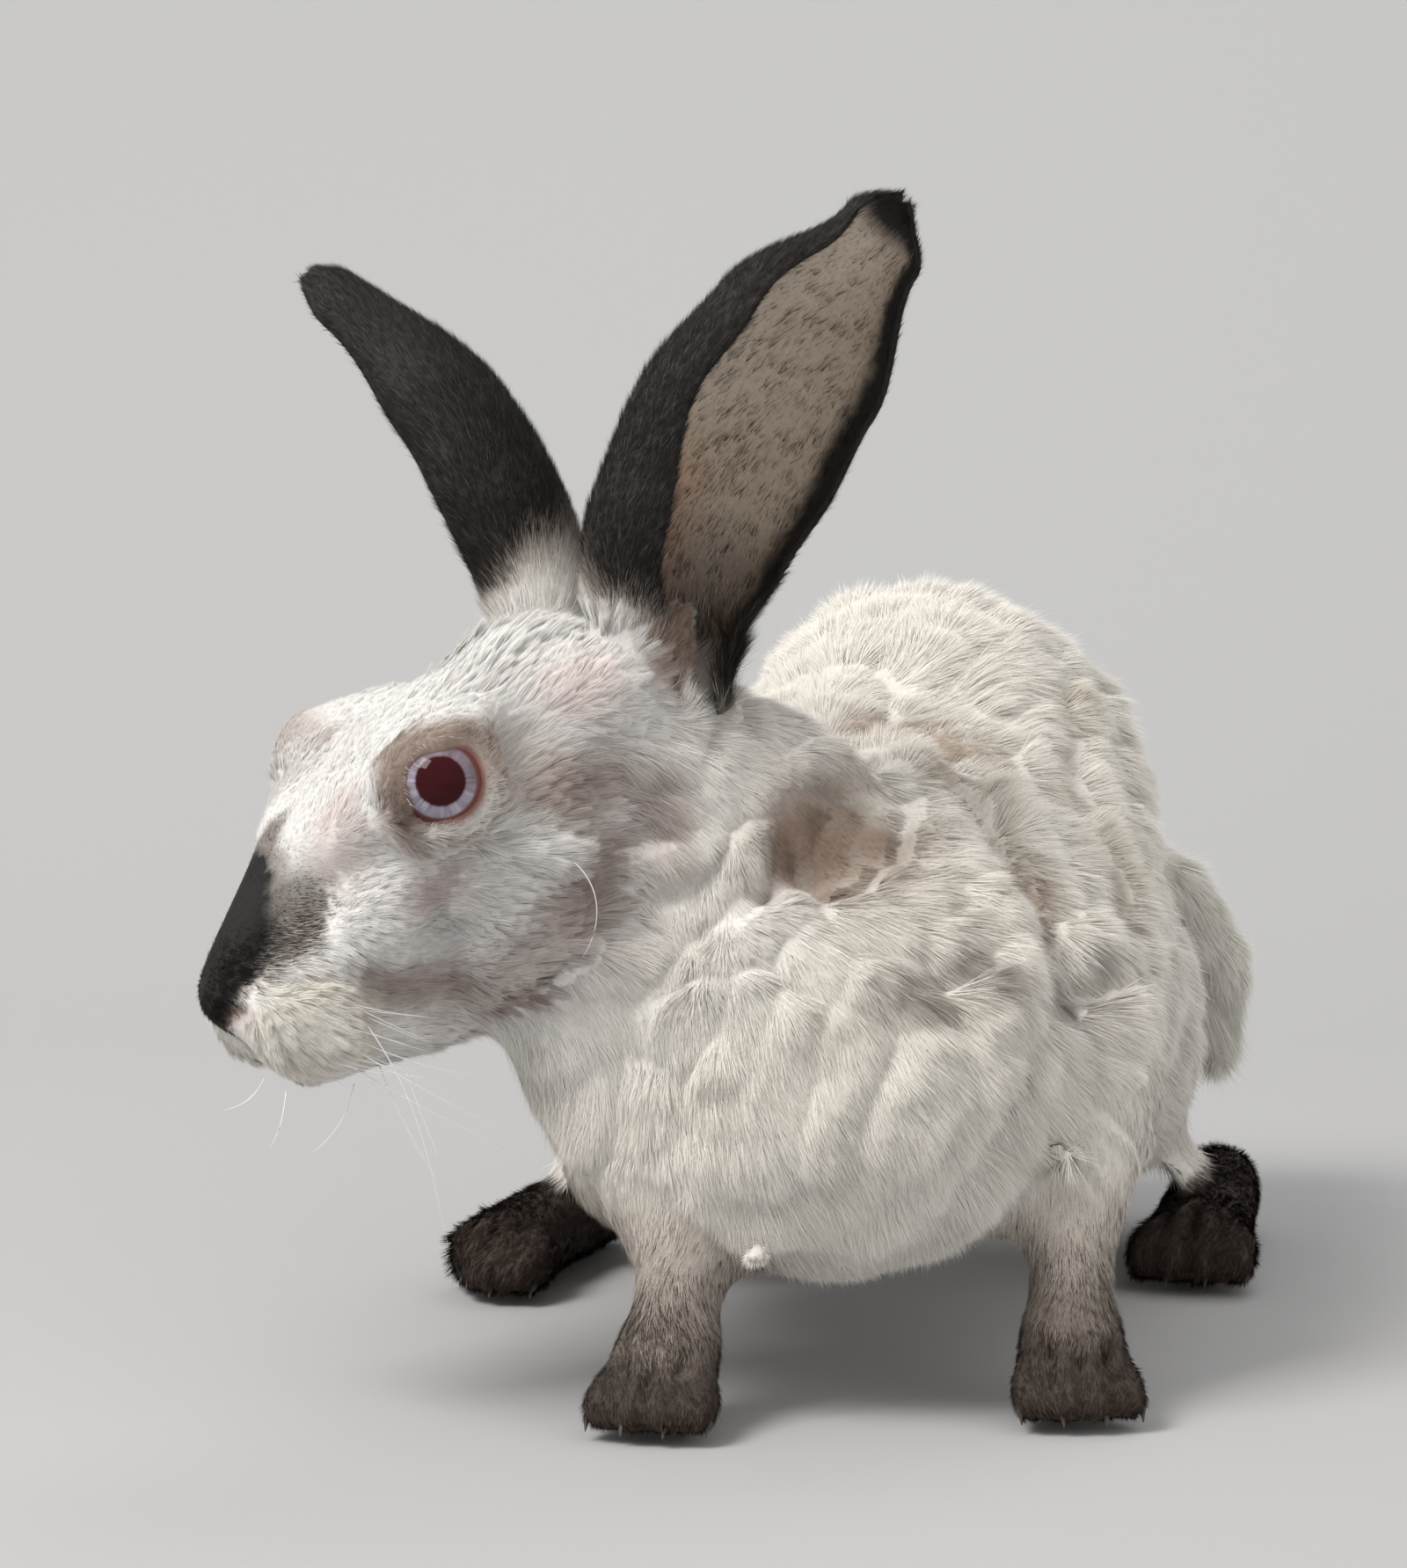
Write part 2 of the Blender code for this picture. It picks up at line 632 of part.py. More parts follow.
def join_locks(obj, make_locks):
    """Unites the locks with the surface that they grow on."""
    bm = bmesh.new()
    bm.from_mesh(obj.data)
    surface = BVHTree.FromBMesh(bm)
    bm.free()
    locks = make_locks(surface)
    gathered = bpy.data.collections.new("locks")
    bpy.context.scene.collection.children.link(gathered)
    for one in locks:
        bpy.context.scene.collection.objects.unlink(one)
        gathered.objects.link(one)
    union = obj.modifiers.new("union", "BOOLEAN")
    union.operation = "UNION"
    union.operand_type = "COLLECTION"
    union.collection = gathered
    union.solver = "EXACT"
    settle(obj)
    drop(*locks)
    bpy.data.collections.remove(gathered)
    return keep_largest(obj)


# Parting the body into pieces

def capsule(a, b, radius):
    """A closed rod with round ends, used as a cell that a piece is cut out with."""
    a, b = Vector(a), Vector(b)
    bm = bmesh.new()
    axis = (b - a).normalized()
    turned = axis.to_track_quat("Z", "X").to_matrix().to_4x4()
    bmesh.ops.create_uvsphere(bm, u_segments=12, v_segments=6, radius=radius)
    for v in bm.verts:
        if v.co.z > 1e-6:
            v.co.z += (b - a).length
    bmesh.ops.transform(bm, matrix=Matrix.Translation(a) @ turned, verts=bm.verts)
    return to_object("cell", bm)


def oval(at, size, tilt=(0, 0, 0)):
    bm = bmesh.new()
    turned = Euler([math.radians(t) for t in tilt]).to_matrix().to_4x4()
    place = Matrix.Translation(at) @ turned @ Matrix.Diagonal((*size, 1.0))
    bmesh.ops.create_uvsphere(bm, u_segments=14, v_segments=8, radius=1.0, matrix=place)
    return to_object("cell", bm)


def carve(body, cell, name, finish, source=None):
    """Takes what lies inside the cell out of the body as its own piece, with the gap between them."""
    inner = copy_of(cell, "inner", -GAP / 2)
    outer = copy_of(cell, "outer", GAP / 2)
    piece = copy_of(source or body, name)
    piece.data.materials.clear()
    piece.data.materials.append(finish)
    boolean(piece, inner, "INTERSECT")
    boolean(body, outer, "DIFFERENCE")
    drop(inner, outer, cell)
    if source:
        drop(source)
    keep_largest(piece)
    keep_largest(body)
    return piece


def part_body(body, white, dark):
    """Cuts the feet, legs, thighs, neck and rump from the body, one after another."""
    cells = (
        ("forepaw_left", block((42, 20, 0), (46, 60, 42), 0), dark, (foreleg_masses, FORE_LEFT)),
        ("forepaw_right", block((-39, 10, 0), (46, 60, 42), 0), dark, (foreleg_masses, FORE_RIGHT)),
        ("foreleg_left", capsule((46, 60, 54), (41, 30, 12), 23), white, None),
        ("foreleg_right", capsule((-40, 48, 54), (-35, 20, 12), 23), white, None),
        ("hindfoot_left", block((84, 190, 0), (50, 130, 44), -10), dark, (hindfoot_masses, HIND_LEFT)),
        ("hindfoot_right", block((-66, 184, 0), (56, 130, 44), 16), dark, (hindfoot_masses, HIND_RIGHT)),
        ("thigh_left", oval((66, 190, 50), (36, 58, 50), (0, 0, -16)), white, None),
        ("thigh_right", oval((-48, 182, 50), (36, 56, 50), (0, 0, 16)), white, None),
        ("neck", oval((-60, 44, 118), (56, 56, 52)), white, None),
        ("rump", block((0, RUMP_FROM + 120, 90), (260, 240, 220), 0), white, None),
    )
    pieces = []
    for name, cell, finish, limb_of in cells:
        triangles = FOREPAW_TRIANGLES if "paw" in name else HINDFOOT_TRIANGLES
        source = fine_foot(*limb_of, triangles) if limb_of else None
        pieces.append(carve(body, cell, name, finish, source))
    return pieces


def block(at, size, turn):
    bm = bmesh.new()
    turned = Matrix.Rotation(math.radians(turn), 4, "Z")
    place = Matrix.Translation(at) @ turned @ Matrix.Diagonal((*size, 1.0))
    bmesh.ops.create_cube(bm, size=1.0, matrix=place)
    return to_object("cell", bm)


def tail_piece(finish):
    bm = bmesh.new()
    limb(
        bm, BODY,
        ((52, 238, 84), (14, 13, 14)), ((74, 252, 82), (15, 12, 13)), ((86, 257, 68), (14, 11, 15)),
        ((91, 257, 50), (10, 8, 11)), ((92, 256, 37), (4.5, 4.5, 5)),
    )
    tail = fuse("tail", bm, TAIL_VOXEL, 4)
    tail.data.materials.append(finish)
    return thin_out(tail, TAIL_TRIANGLES)


def scale_to_metres(objs):
    for obj in objs:
        obj.data.transform(Matrix.Scale(MM, 4))
        obj.data.update()


def centre_on_floor(objs):
    """Moves the whole so that the middle of its box is over the origin and its soles are at zero height."""
    corners = np.array([v.co for obj in objs for v in obj.data.vertices])
    low, high = corners.min(0), corners.max(0)
    shift = Matrix.Translation((-(low[0] + high[0]) / 2, -(low[1] + high[1]) / 2, -low[2]))
    for obj in objs:
        obj.data.transform(shift)


def soft_shading(objs):
    for obj in objs:
        obj.data.shade_smooth()


def make_room(obj, others, gap=GAP, triangles=None, solver="EXACT"):
    """Cuts the others back from the object by the gap, with a plainer copy where triangles are given."""
    room = copy_of(obj, "room", gap)
    if triangles:
        thin_out(room, triangles)
    for other in others:
        boolean(other, room, "DIFFERENCE", solver)
        keep_largest(other)
    drop(room)


def build():
    clear_scene()
    white = material("white_coat", (0.86, 0.84, 0.80), 0.85)
    points = material("dark_points", (0.05, 0.04, 0.035), 0.8)
    iris = material("iris", (0.45, 0.33, 0.38), 0.1)

    head = fuse("head", head_masses(), HEAD_VOXEL, 5)
    open_eyes(head)
    ease_brows(head)
    face_lines(head)
    thin_out(head, HEAD_TRIANGLES)
    head.data.materials.append(white)
    join_locks(head, cheek_locks)
    eyes = [eyeball("eye_left", 1, iris), eyeball("eye_right", -1, iris)]
    for ball in eyes:
        make_room(ball, [head])

    body = join_locks(whole_body(), body_locks)
    tail = join_locks(tail_piece(white), tail_locks)
    ears = [
        ear("ear_left", EAR_LEFT, EAR_LEFT_SHAPE, points),
        ear("ear_right", EAR_RIGHT, EAR_RIGHT_SHAPE, points),
    ]
    make_room(head, [body], HEAD_SEAT_GAP, HEAD_SEAT_TRIANGLES)
    make_room(body, [head, tail])
    make_room(head, ears, solver="MANIFOLD")
    make_room(body, ears, solver="MANIFOLD")

    pieces = [head, tail, *ears, *eyes]
    pieces += part_body(body, white, points)
    body.name = "chest"
    body.data.materials.append(white)
    pieces.append(body)
    scale_to_metres(pieces)
    centre_on_floor(pieces)
    soft_shading(pieces)


build()
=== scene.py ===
"""A standing white rabbit with dark ears, nose and feet: its skin, eyes, coat, whiskers and claws.

Places are worked out in millimetres in the frame that the animal was laid out in: +x to its left, +y to its
rump, +z up, with y = 0 at the front of its right paw. in_scene() takes them to the part's frame, in metres.
"""

import math

import bmesh
import bpy
import numpy as np
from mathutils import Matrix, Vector
from mathutils.bvhtree import BVHTree
from mathutils.kdtree import KDTree


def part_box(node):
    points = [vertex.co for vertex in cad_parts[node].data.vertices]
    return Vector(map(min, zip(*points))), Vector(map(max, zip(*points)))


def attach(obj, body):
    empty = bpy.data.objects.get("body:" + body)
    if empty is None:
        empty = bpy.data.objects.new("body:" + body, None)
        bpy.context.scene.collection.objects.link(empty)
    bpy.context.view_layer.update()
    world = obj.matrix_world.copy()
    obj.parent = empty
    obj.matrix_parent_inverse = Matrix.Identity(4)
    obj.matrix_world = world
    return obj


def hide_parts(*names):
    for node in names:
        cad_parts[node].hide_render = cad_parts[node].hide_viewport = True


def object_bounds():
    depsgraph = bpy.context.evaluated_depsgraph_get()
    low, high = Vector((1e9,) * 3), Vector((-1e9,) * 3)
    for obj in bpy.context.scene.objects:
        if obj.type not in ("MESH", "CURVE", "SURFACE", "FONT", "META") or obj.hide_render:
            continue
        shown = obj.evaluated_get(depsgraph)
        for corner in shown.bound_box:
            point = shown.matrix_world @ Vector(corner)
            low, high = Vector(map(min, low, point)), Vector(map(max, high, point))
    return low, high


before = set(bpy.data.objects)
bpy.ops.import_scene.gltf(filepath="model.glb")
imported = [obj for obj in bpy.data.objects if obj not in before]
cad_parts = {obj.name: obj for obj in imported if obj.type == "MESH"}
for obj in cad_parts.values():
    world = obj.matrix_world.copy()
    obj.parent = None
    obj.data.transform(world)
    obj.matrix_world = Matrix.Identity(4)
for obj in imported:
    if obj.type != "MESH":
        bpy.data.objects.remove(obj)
cad_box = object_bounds()

# The head's own axes: forward along the muzzle, left, and up. The left eyeball ties the layout to the part.

HEAD_CENTRE = np.array((-94.0, 35.5, 128.5))
HEAD_TURN = math.radians(63)
HEAD_DROP = math.radians(25)
ahead = np.array((-math.sin(HEAD_TURN), -math.cos(HEAD_TURN), 0.0))
FORWARD = ahead * math.cos(HEAD_DROP) - np.array((0, 0, math.sin(HEAD_DROP)))
LEFT = np.array((math.cos(HEAD_TURN), -math.sin(HEAD_TURN), 0.0))
UP = np.cross(FORWARD, LEFT)
HEAD_AXES = np.array((FORWARD, LEFT, UP))
EYE_RADIUS = 9.0
EYE_ASIDE = 26.0

low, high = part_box("eye_left")
shift = np.array((low + high) / 2) * 1000 - (HEAD_CENTRE + LEFT * EYE_ASIDE)


def in_scene(points):
    return (np.asarray(points) + shift) / 1000


def in_layout(points):
    return np.asarray(points) * 1000 - shift


def in_head(points):
    return (points - HEAD_CENTRE) @ HEAD_AXES.T


def out_of_head(points):
    return np.asarray(points) @ HEAD_AXES + HEAD_CENTRE


# The skin: one closed surface over every node of flesh, drawn in from the solids by the depth of the coat.
# It is remeshed from swollen copies, which closes the cuts between the nodes, then smoothed and detailed.

SKIN_VOXEL = 0.0015
SWELL = 0.0004
COAT_DEPTH = {
    "head": 1.8, "neck": 3.4, "chest": 4.2, "rump": 4.2, "tail": 4.6, "thigh": 4.0,
    "foreleg": 2.6, "forepaw": 1.3, "hindfoot": 1.4,
}
flesh = sorted(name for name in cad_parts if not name.startswith(("eye", "ear")))


def relax(values, edges, rounds, share=0.5):
    """Evens out values over a mesh's points."""
    a, b = edges.T
    count = np.bincount(edges.ravel(), minlength=len(values))[:, None]
    for _ in range(rounds):
        total = np.stack([
            np.bincount(a, values[b, k], len(values)) + np.bincount(b, values[a, k], len(values))
            for k in range(values.shape[1])
        ], 1)
        values = values + share * (total / count - values)
    return values


def rows_of(items, what, width=3, kind=float):
    """One property of all of a mesh's points, edges or corners, as rows of this width."""
    flat = np.empty(len(items) * width, kind)
    items.foreach_get(what, flat)
    return flat.reshape(-1, width)


def coords(mesh):
    return rows_of(mesh.vertices, "co")


def normals(mesh):
    return rows_of(mesh.vertices, "normal")


def edge_pairs(mesh):
    return rows_of(mesh.edges, "vertices", 2, np.int64)


def set_coords(mesh, points):
    mesh.vertices.foreach_set("co", np.ascontiguousarray(points, np.float64).ravel())
    mesh.update()


def new_object(name, mesh):
    obj = bpy.data.objects.new(name, mesh)
    bpy.context.scene.collection.objects.link(obj)
    return obj


def applied(obj):
    """The object with its modifiers worked into its mesh."""
    graph = bpy.context.evaluated_depsgraph_get()
    graph.update()
    mesh = bpy.data.meshes.new_from_object(obj.evaluated_get(graph))
    obj.modifiers.clear()
    obj.data = mesh
    return obj


joined = bmesh.new()
tree_points, tree_faces, tree_names = [], [], []
for name in flesh + ["eye_left", "eye_right"]:
    bm = bmesh.new()
    bm.from_mesh(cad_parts[name].data)
    bm.transform(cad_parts[name].matrix_world)
    bmesh.ops.remove_doubles(bm, verts=bm.verts, dist=1e-6)
    bm.normal_update()
    start = len(tree_points)
    for vert in bm.verts:
        tree_points.append(vert.co.copy())
        vert.co += vert.normal * SWELL
    for face in bm.faces if name in flesh else ():
        tree_faces.append([start + v.index for v in face.verts])
        tree_names.append(name)
    swollen = bpy.data.meshes.new(name + "_swollen")
    bm.to_mesh(swollen)
    bm.free()
    joined.from_mesh(swollen)
    bpy.data.meshes.remove(swollen)
skin_mesh = bpy.data.meshes.new("skin")
joined.to_mesh(skin_mesh)
joined.free()
skin = new_object("skin", skin_mesh)
wrap = skin.modifiers.new("wrap", "REMESH")
wrap.mode = "VOXEL"
wrap.voxel_size = SKIN_VOXEL
applied(skin)

bm = bmesh.new()
bm.from_mesh(skin.data)  # the largest shell is the skin, and the rest are closed hollows inside it
left_over = set(bm.verts)
shells = []
while left_over:
    shell, edge = [], [left_over.pop()]
    while edge:
        vert = edge.pop()
        shell.append(vert)
        for link in vert.link_edges:
            other = link.other_vert(vert)
            if other in left_over:
                left_over.remove(other)
                edge.append(other)
    shells.append(shell)
for shell in sorted(shells, key=len)[:-1]:
    bmesh.ops.delete(bm, geom=shell, context="VERTS")
bm.to_mesh(skin.data)
bm.free()

region_tree = BVHTree.FromPolygons(tree_points, tree_faces)
edges = edge_pairs(skin.data)
points = relax(in_layout(coords(skin.data)), edges, 4)
set_coords(skin.data, in_scene(points))
owner = np.array([flesh.index(tree_names[region_tree.find_nearest(Vector(p))[2]]) for p in in_scene(points)])
depth_of = np.array([COAT_DEPTH[name.split("_")[0]] for name in flesh])
rough = np.array([1.0 if name.startswith(("head", "forepaw", "hindfoot")) else 3.0 for name in flesh])
depth = relax(depth_of[owner][:, None], edges, 30)[:, 0]
smoother = relax(points, edges, 26)
keen = relax((rough[owner][:, None] > 2).astype(float), edges, 10)
points = points + (smoother - points) * keen
set_coords(skin.data, in_scene(points))
points = points - normals(skin.data) * depth[:, None]
points = relax(points, edges, 2)
set_coords(skin.data, in_scene(points))


def finer(mesh, wanted):
    """Divides the faces whose middle the test picks."""
    bm = bmesh.new()
    bm.from_mesh(mesh)
    middles = np.array([f.calc_center_median() for f in bm.faces])
    chosen = wanted(in_layout(middles))
    near = {e for f, yes in zip(bm.faces, chosen) if yes for e in f.edges}
    bmesh.ops.subdivide_edges(bm, edges=list(near), cuts=1, use_grid_fill=True, smooth=0.6)
    bm.to_mesh(mesh)
    bm.free()


def by_the_face(points):
    head = in_head(points)
    close_eye = np.linalg.norm(np.abs(head) - (0, 30, 0), axis=1) < 15
    muzzle = (head[:, 0] > 38) & (np.abs(head[:, 1]) < 16)
    return close_eye | muzzle


def by_the_lids(points):
    return np.linalg.norm(np.abs(in_head(points)) - (0, 30, 2), axis=1) < 13.5


finer(skin.data, by_the_face)
finer(skin.data, by_the_lids)

# Lids: each orbit is laid round the eyeball, with a raised rim, a crease above it and a corner at each end.
# They are thin bare-edged skin, formed from the points of the skin that stand round the ball.


def unit(vectors):
    return vectors / np.maximum(np.linalg.norm(vectors, axis=-1, keepdims=True), 1e-9)


def ease(value, low, high):
    share = np.clip((value - low) / (high - low), 0, 1)
    return share * share * (3 - 2 * share)


EYE_LOOK = unit(np.array((0.10, 0.97, 0.17)))
OPENING = 7.5


def eye_cross(look, side):
    """The ways across the gaze, to the eye's front corner and to its upper lid."""
    corner = np.array((0.88, 0.0, -0.48))
    corner = unit(corner - (corner @ look) * look)
    return corner, unit(np.cross(corner, look)) * side


def eye_plane(points, side):
    """Height along the eye's gaze, distance from its axis, and the angle round it, from head axes."""
    look = EYE_LOOK * (1, side, 1)
    corner, upward = eye_cross(look, side)
    rel = points - (0, side * EYE_ASIDE, 0)
    height = rel @ look
    x, y = rel @ corner, rel @ upward
    return height, np.hypot(x, y), np.arctan2(y, x)


def lid_edge(angle):
    """The opening's half width at each angle: pulled out at both corners and hooded at the top."""
    front = np.exp(-((angle / 0.36) ** 2))
    back = np.exp(-(((np.abs(angle) - math.pi) / 0.5) ** 2))
    from_top = np.mod(angle - 2.35 + math.pi, 2 * math.pi) - math.pi
    return OPENING + 1.5 * front + 0.5 * back - 2.1 * np.exp(-((from_top / 0.7) ** 2))


points = in_head(in_layout(coords(skin.data)))
for side in (1, -1):
    height, ring, angle = eye_plane(points, side)
    look = EYE_LOOK * (1, side, 1)
    edge = lid_edge(angle)
    past = ring - edge
    outward = points - (0, side * EYE_ASIDE, 0) - height[:, None] * look
    snap = -0.85 * past * np.exp(-((past / 0.32) ** 2)) * (height > 0)
    points = points + unit(outward) * snap[:, None]
    height, ring, angle = eye_plane(points, side)
    past = ring - lid_edge(angle)
    ball = np.sqrt(np.maximum(EYE_RADIUS ** 2 - ring ** 2, 7.0))
    upper = ease(angle, 0.1, 0.9) * ease(-angle, -3.0, -2.3)
    rim = np.sqrt(np.maximum(EYE_RADIUS ** 2 - edge ** 2, 7.0))
    lid = rim + 0.10 + 0.22 * ease(past, -0.1, 1.2) + 0.25 * upper * np.exp(-(((past - 1.6) / 1.1) ** 2))
    lid = lid - 0.12 * np.exp(-(((past - 3.4 - 0.8 * upper) / 0.7) ** 2))
    lid = lid - 0.03 * np.maximum(past - 0.8, 0) ** 2
    lid = np.where(past < -0.1, ball - 0.15, lid)
    blend = ease(-past, -8.5, -2.5) * (height > -4)
    points = points + ((lid - height) * blend)[:, None] * look

# Nostrils, the split lip and the mouth are pressed in as grooves; folds of skin on the cheek and neck are
# raised and pressed along their routes, all in head axes.

FACE_DEPTH = 1.25


def near_route(points, route):
    """Each point's distance from a broken line."""
    route = np.array(route, float)
    best = np.full(len(points), 1e9)
    for a, b in zip(route, route[1:]):
        share = np.clip((points - a) @ (b - a) / ((b - a) @ (b - a)), 0, 1)
        best = np.minimum(best, np.linalg.norm(points - a - share[:, None] * (b - a), axis=1))
    return best


def press(points, facing, near, width, depth):
    """Presses points in by the depth, or raises them where it is below 0, fading with the distance near."""
    return points - facing * (depth * np.exp(-((near / width) ** 2)))[:, None]


set_coords(skin.data, in_scene(out_of_head(points)))
facing = normals(skin.data) @ HEAD_AXES.T
points = press(points, facing, near_route(points, ((57, 0, -31), (54.5, 0, -35), (50, 0, -42))), 0.9, 1.6)
for side in (1, -1):
    for route, width, depth in (
        (((55, 2, -31), (53, 5.5, -28.5), (50.5, 8, -26.5)), 1.1, 2.6),
        (((50, 1, -42), (44, 9, -46), (32, 14, -49)), 1.0, 2.2),
        (((46, 11, -21), (39, 15, -24), (31, 18, -27), (26, 18, -34), (27, 16, -42)), 1.8, 1.5),
        (((44, 10, -33), (38, 13, -37)), 6.0, -1.2),
        (((28, 18, -30), (21, 18, -38), (12, 19, -42)), 4.0, 1.5),
        (((24, 18, -27), (12, 22, -29), (3, 25, -30)), 1.8, -1.9),
        (((22, 19, -31), (12, 21, -33), (4, 24, -34)), 1.4, 1.3),
        (((14, 8, -54), (9, 14, -51), (4, 20, -48), (-4, 24, -48), (-14, 27, -46)), 1.5, 2.4),
        (((8, 15, -47), (0, 22, -43), (-9, 26, -40)), 3.0, -1.6),
        (((10, 25, -19), (12, 25, -20)), 4.0, 1.1),
        (((-2, 28, -15), (-10, 29, -21), (-17, 30, -25)), 2.4, -1.9),
        (((-4, 28, -21), (-12, 29, -27)), 1.6, 1.2),
        (((-17, 29, -8), (-24, 29, -16), (-28, 29, -25)), 3.4, 1.2),
        (((-31, 28, -16), (-37, 29, -22), (-33, 30, -29), (-22, 29, -32)), 5.0, 1.8),
        (((-25, 27, -9), (-34, 27, -12), (-43, 28, -18)), 3.0, -1.5),
        (((-11, 26, -41), (-16, 27, -45)), 2.6, -2.0),
    ):
        mirrored = [(f, side * l, u) for f, l, u in route]
        points = press(points, facing, near_route(points, mirrored), width, depth * FACE_DEPTH)
points = out_of_head(points)
set_coords(skin.data, in_scene(points))

# The wool's relief: rolls and hollows over the back, shoulders and chest, with the bare patches pressed in.
# The routes run over the tips of the coat, where the photo shows them. The ropes are those of the neck.

COAT_GAP = 28  # square of the mean way down to the skin from a route, in mm2
ROLLS = (
    (((-22, 60, 128), (-2, 58, 131), (7, 62, 129)), 6.0, -2.6),
    (((7, 119, 129), (14, 92, 126), (19, 62, 114), (23, 49, 107), (28, 41, 101)), 6.0, -3.4),
    (((22, 94, 124), (25, 73, 114), (30, 65, 106), (33, 54, 101)), 3.4, 3.6),
    (((5, 121, 130), (14, 125, 131), (21, 120, 128), (27, 117, 125)), 3.4, 2.8),
    (((30, 100, 124), (36, 82, 113), (41, 70, 103), (44, 58, 94)), 6.0, -2.6),
    (((52, 162, 135), (50, 139, 125), (48, 121, 116), (52, 101, 112), (57, 83, 98)), 4.0, 2.8),
    (((60, 158, 128), (58, 136, 118), (57, 118, 108)), 6.0, -2.0),
    (((18, 160, 150), (42, 140, 132)), 8.0, -2.0),
    (((-5, 41, 113), (1, 46, 118), (3, 50, 121)), 9.5, 4.2),
    (((-11, 38, 117), (-4, 43, 120), (3, 50, 123)), 1.3, -1.4),
    (((-10, 37, 114), (-3, 41, 117)), 1.2, 1.4),
    (((-11, 36, 110), (-9, 36, 109)), 3.2, 2.6),
    (((8, 18, 93), (15, 22, 94), (21, 27, 95)), 3.6, 2.2),
    (((43, 43, 86), (48, 46, 88)), 4.2, 3.2),
    (((-1, 10, 78), (-7, 9, 68), (-13, 8, 58)), 3.8, -1.3),
    (((11, 12, 72), (2, 10, 55), (-6, 9, 45)), 3.8, -1.3),
    (((-23, 29, 101), (-27, 21, 91), (-31, 17, 78)), 4.4, -1.6),
    (((-38, 23, 86), (-42, 22, 72), (-46, 22, 58)), 4.0, -1.2),
    (((-17, 15, 83), (-21, 11, 70), (-24, 11, 56)), 3.8, -1.2),
    (((24, 21, 80), (18, 15, 66), (12, 13, 52)), 4.0, -1.2),
)
WOOL_ROPES = (
    (((-58, 22, 100), (-48, 30, 101), (-43, 31, 109), (-33, 31, 112), (-29, 32, 118), (-27, 34, 126)),
     2.6, -3.0),
    (((-55, 26, 95), (-46, 29, 97), (-37, 32, 105), (-27, 33, 114)), 1.6, 2.2),
    (((-57, 27, 91), (-46, 28, 92), (-35, 33, 101), (-23, 35, 110), (-19, 36, 120)), 3.0, -3.0),
    (((-58, 32, 82), (-44, 32, 87), (-30, 34, 96), (-18, 33, 106)), 1.8, 2.4),
    (((-60, 34, 74), (-44, 34, 80), (-28, 34, 88), (-14, 31, 100)), 3.4, -2.6),
)


def noise(points, size, seed=0):
    """Smooth noise from -1 to 1 with features of about this size, from a hashed lattice."""
    place = points / size + seed * 17.31
    cell = np.floor(place).astype(np.int64)
    part = place - cell
    part = part * part * (3 - 2 * part)
    total = np.zeros(len(points))
    for corner in range(8):
        step = np.array((corner & 1, corner >> 1 & 1, corner >> 2 & 1))
        c = cell + step
        h = (c[:, 0] * 73856093) ^ (c[:, 1] * 19349663) ^ (c[:, 2] * 83492791) ^ (seed * 2654435)
        h = (h ^ (h >> 13)) * 1274126177 & 0xFFFFFF
        weight = np.where(step, part, 1 - part).prod(1)
        total += weight * (h / 0x7FFFFF - 1)
    return total


def stray(points, size):
    """A wandering shift of each point, from -1 to 1 along each axis."""
    return np.stack([noise(points, size, s) for s in (3, 4, 5)], 1)


def near_coat(points, route):
    """Distance from a route that runs over the tips of the coat, measured along the skin below it."""
    return np.sqrt(np.maximum(near_route(points, route) ** 2 - COAT_GAP, 0))


for route, width, amount in ROLLS:
    near = near_coat(points + stray(points, 14) * 2.5, route)
    points = press(points, normals(skin.data), near, width, amount)
    set_coords(skin.data, in_scene(points))
for route, width, amount in WOOL_ROPES:
    twist = 1 + 0.55 * noise(points, 6.5, 6)
    near = near_route(points + stray(points, 9) * 1.6, route)
    points = press(points, normals(skin.data), near, width, amount * twist)
    set_coords(skin.data, in_scene(points))

head = in_head(points)
woolly = ease(points[:, 1] + 0.2 * points[:, 2], 20, 45) * ease(points[:, 2], 34, 60)
off_head = 1 - ease(-np.linalg.norm(head - (5, 0, -20), axis=1), -62, -48)
facing = normals(skin.data)
swell = 1.5 * noise(points * (1.3, 0.8, 0.8), 19, 1) + 0.5 * noise(points, 8, 2)
points = points + facing * (swell * woolly * off_head)[:, None]
chest_waves = noise(points * (1.0, 1.0, 0.42) + 3.0 * noise(points, 22, 7)[:, None], 6.5, 13)
on_chest = ease(-points[:, 1], -52, -34) * ease(points[:, 2], 26, 44) * off_head
points = points + facing * (1.1 * chest_waves * on_chest)[:, None]
set_coords(skin.data, in_scene(points))

# The wool hangs in locks: seeds over the trunk, neck and thighs, each with its own pillow of coat, parted
# from the next by a crease where two seeds are equally near.

chance = np.random.default_rng(11)
LOCK_SPACING = 11.78
LOCK_WAY = unit(np.array((0.08, 0.72, -0.69)))


def stretched(points):
    """Places with the distance along the wool's way halved, which makes the locks longer than wide."""
    return points - 0.5 * (points @ LOCK_WAY)[:, None] * LOCK_WAY


def tree_of(spots):
    """A search tree over these places."""
    tree = KDTree(len(spots))
    for k, spot in enumerate(spots):
        tree.insert(spot, k)
    tree.balance()
    return tree


seed_spots = stretched(points)
seeds = np.zeros((0, 3))
for k in chance.permutation(np.where(woolly * off_head > 0.25)[0])[:2600]:
    if len(seeds) == 0 or np.linalg.norm(seeds - seed_spots[k], axis=1).min() > LOCK_SPACING:
        seeds = np.vstack([seeds, seed_spots[k]])
seed_tree = tree_of(seeds)
apart = np.array([b[2] - a[2] for a, b in (seed_tree.find_n(p, 2) for p in seed_spots)])
facing = normals(skin.data)
pillow = 1.4 * ease(apart, 0.0, 6.0) - 1.0
points = points + facing * (pillow * woolly * off_head)[:, None]

# Toes: grooves pressed in between the four toes of each foot, over the top and down the front. A foot has the
# place of its ball, its heading in degrees, its length ahead of the ball and the width of a toe.

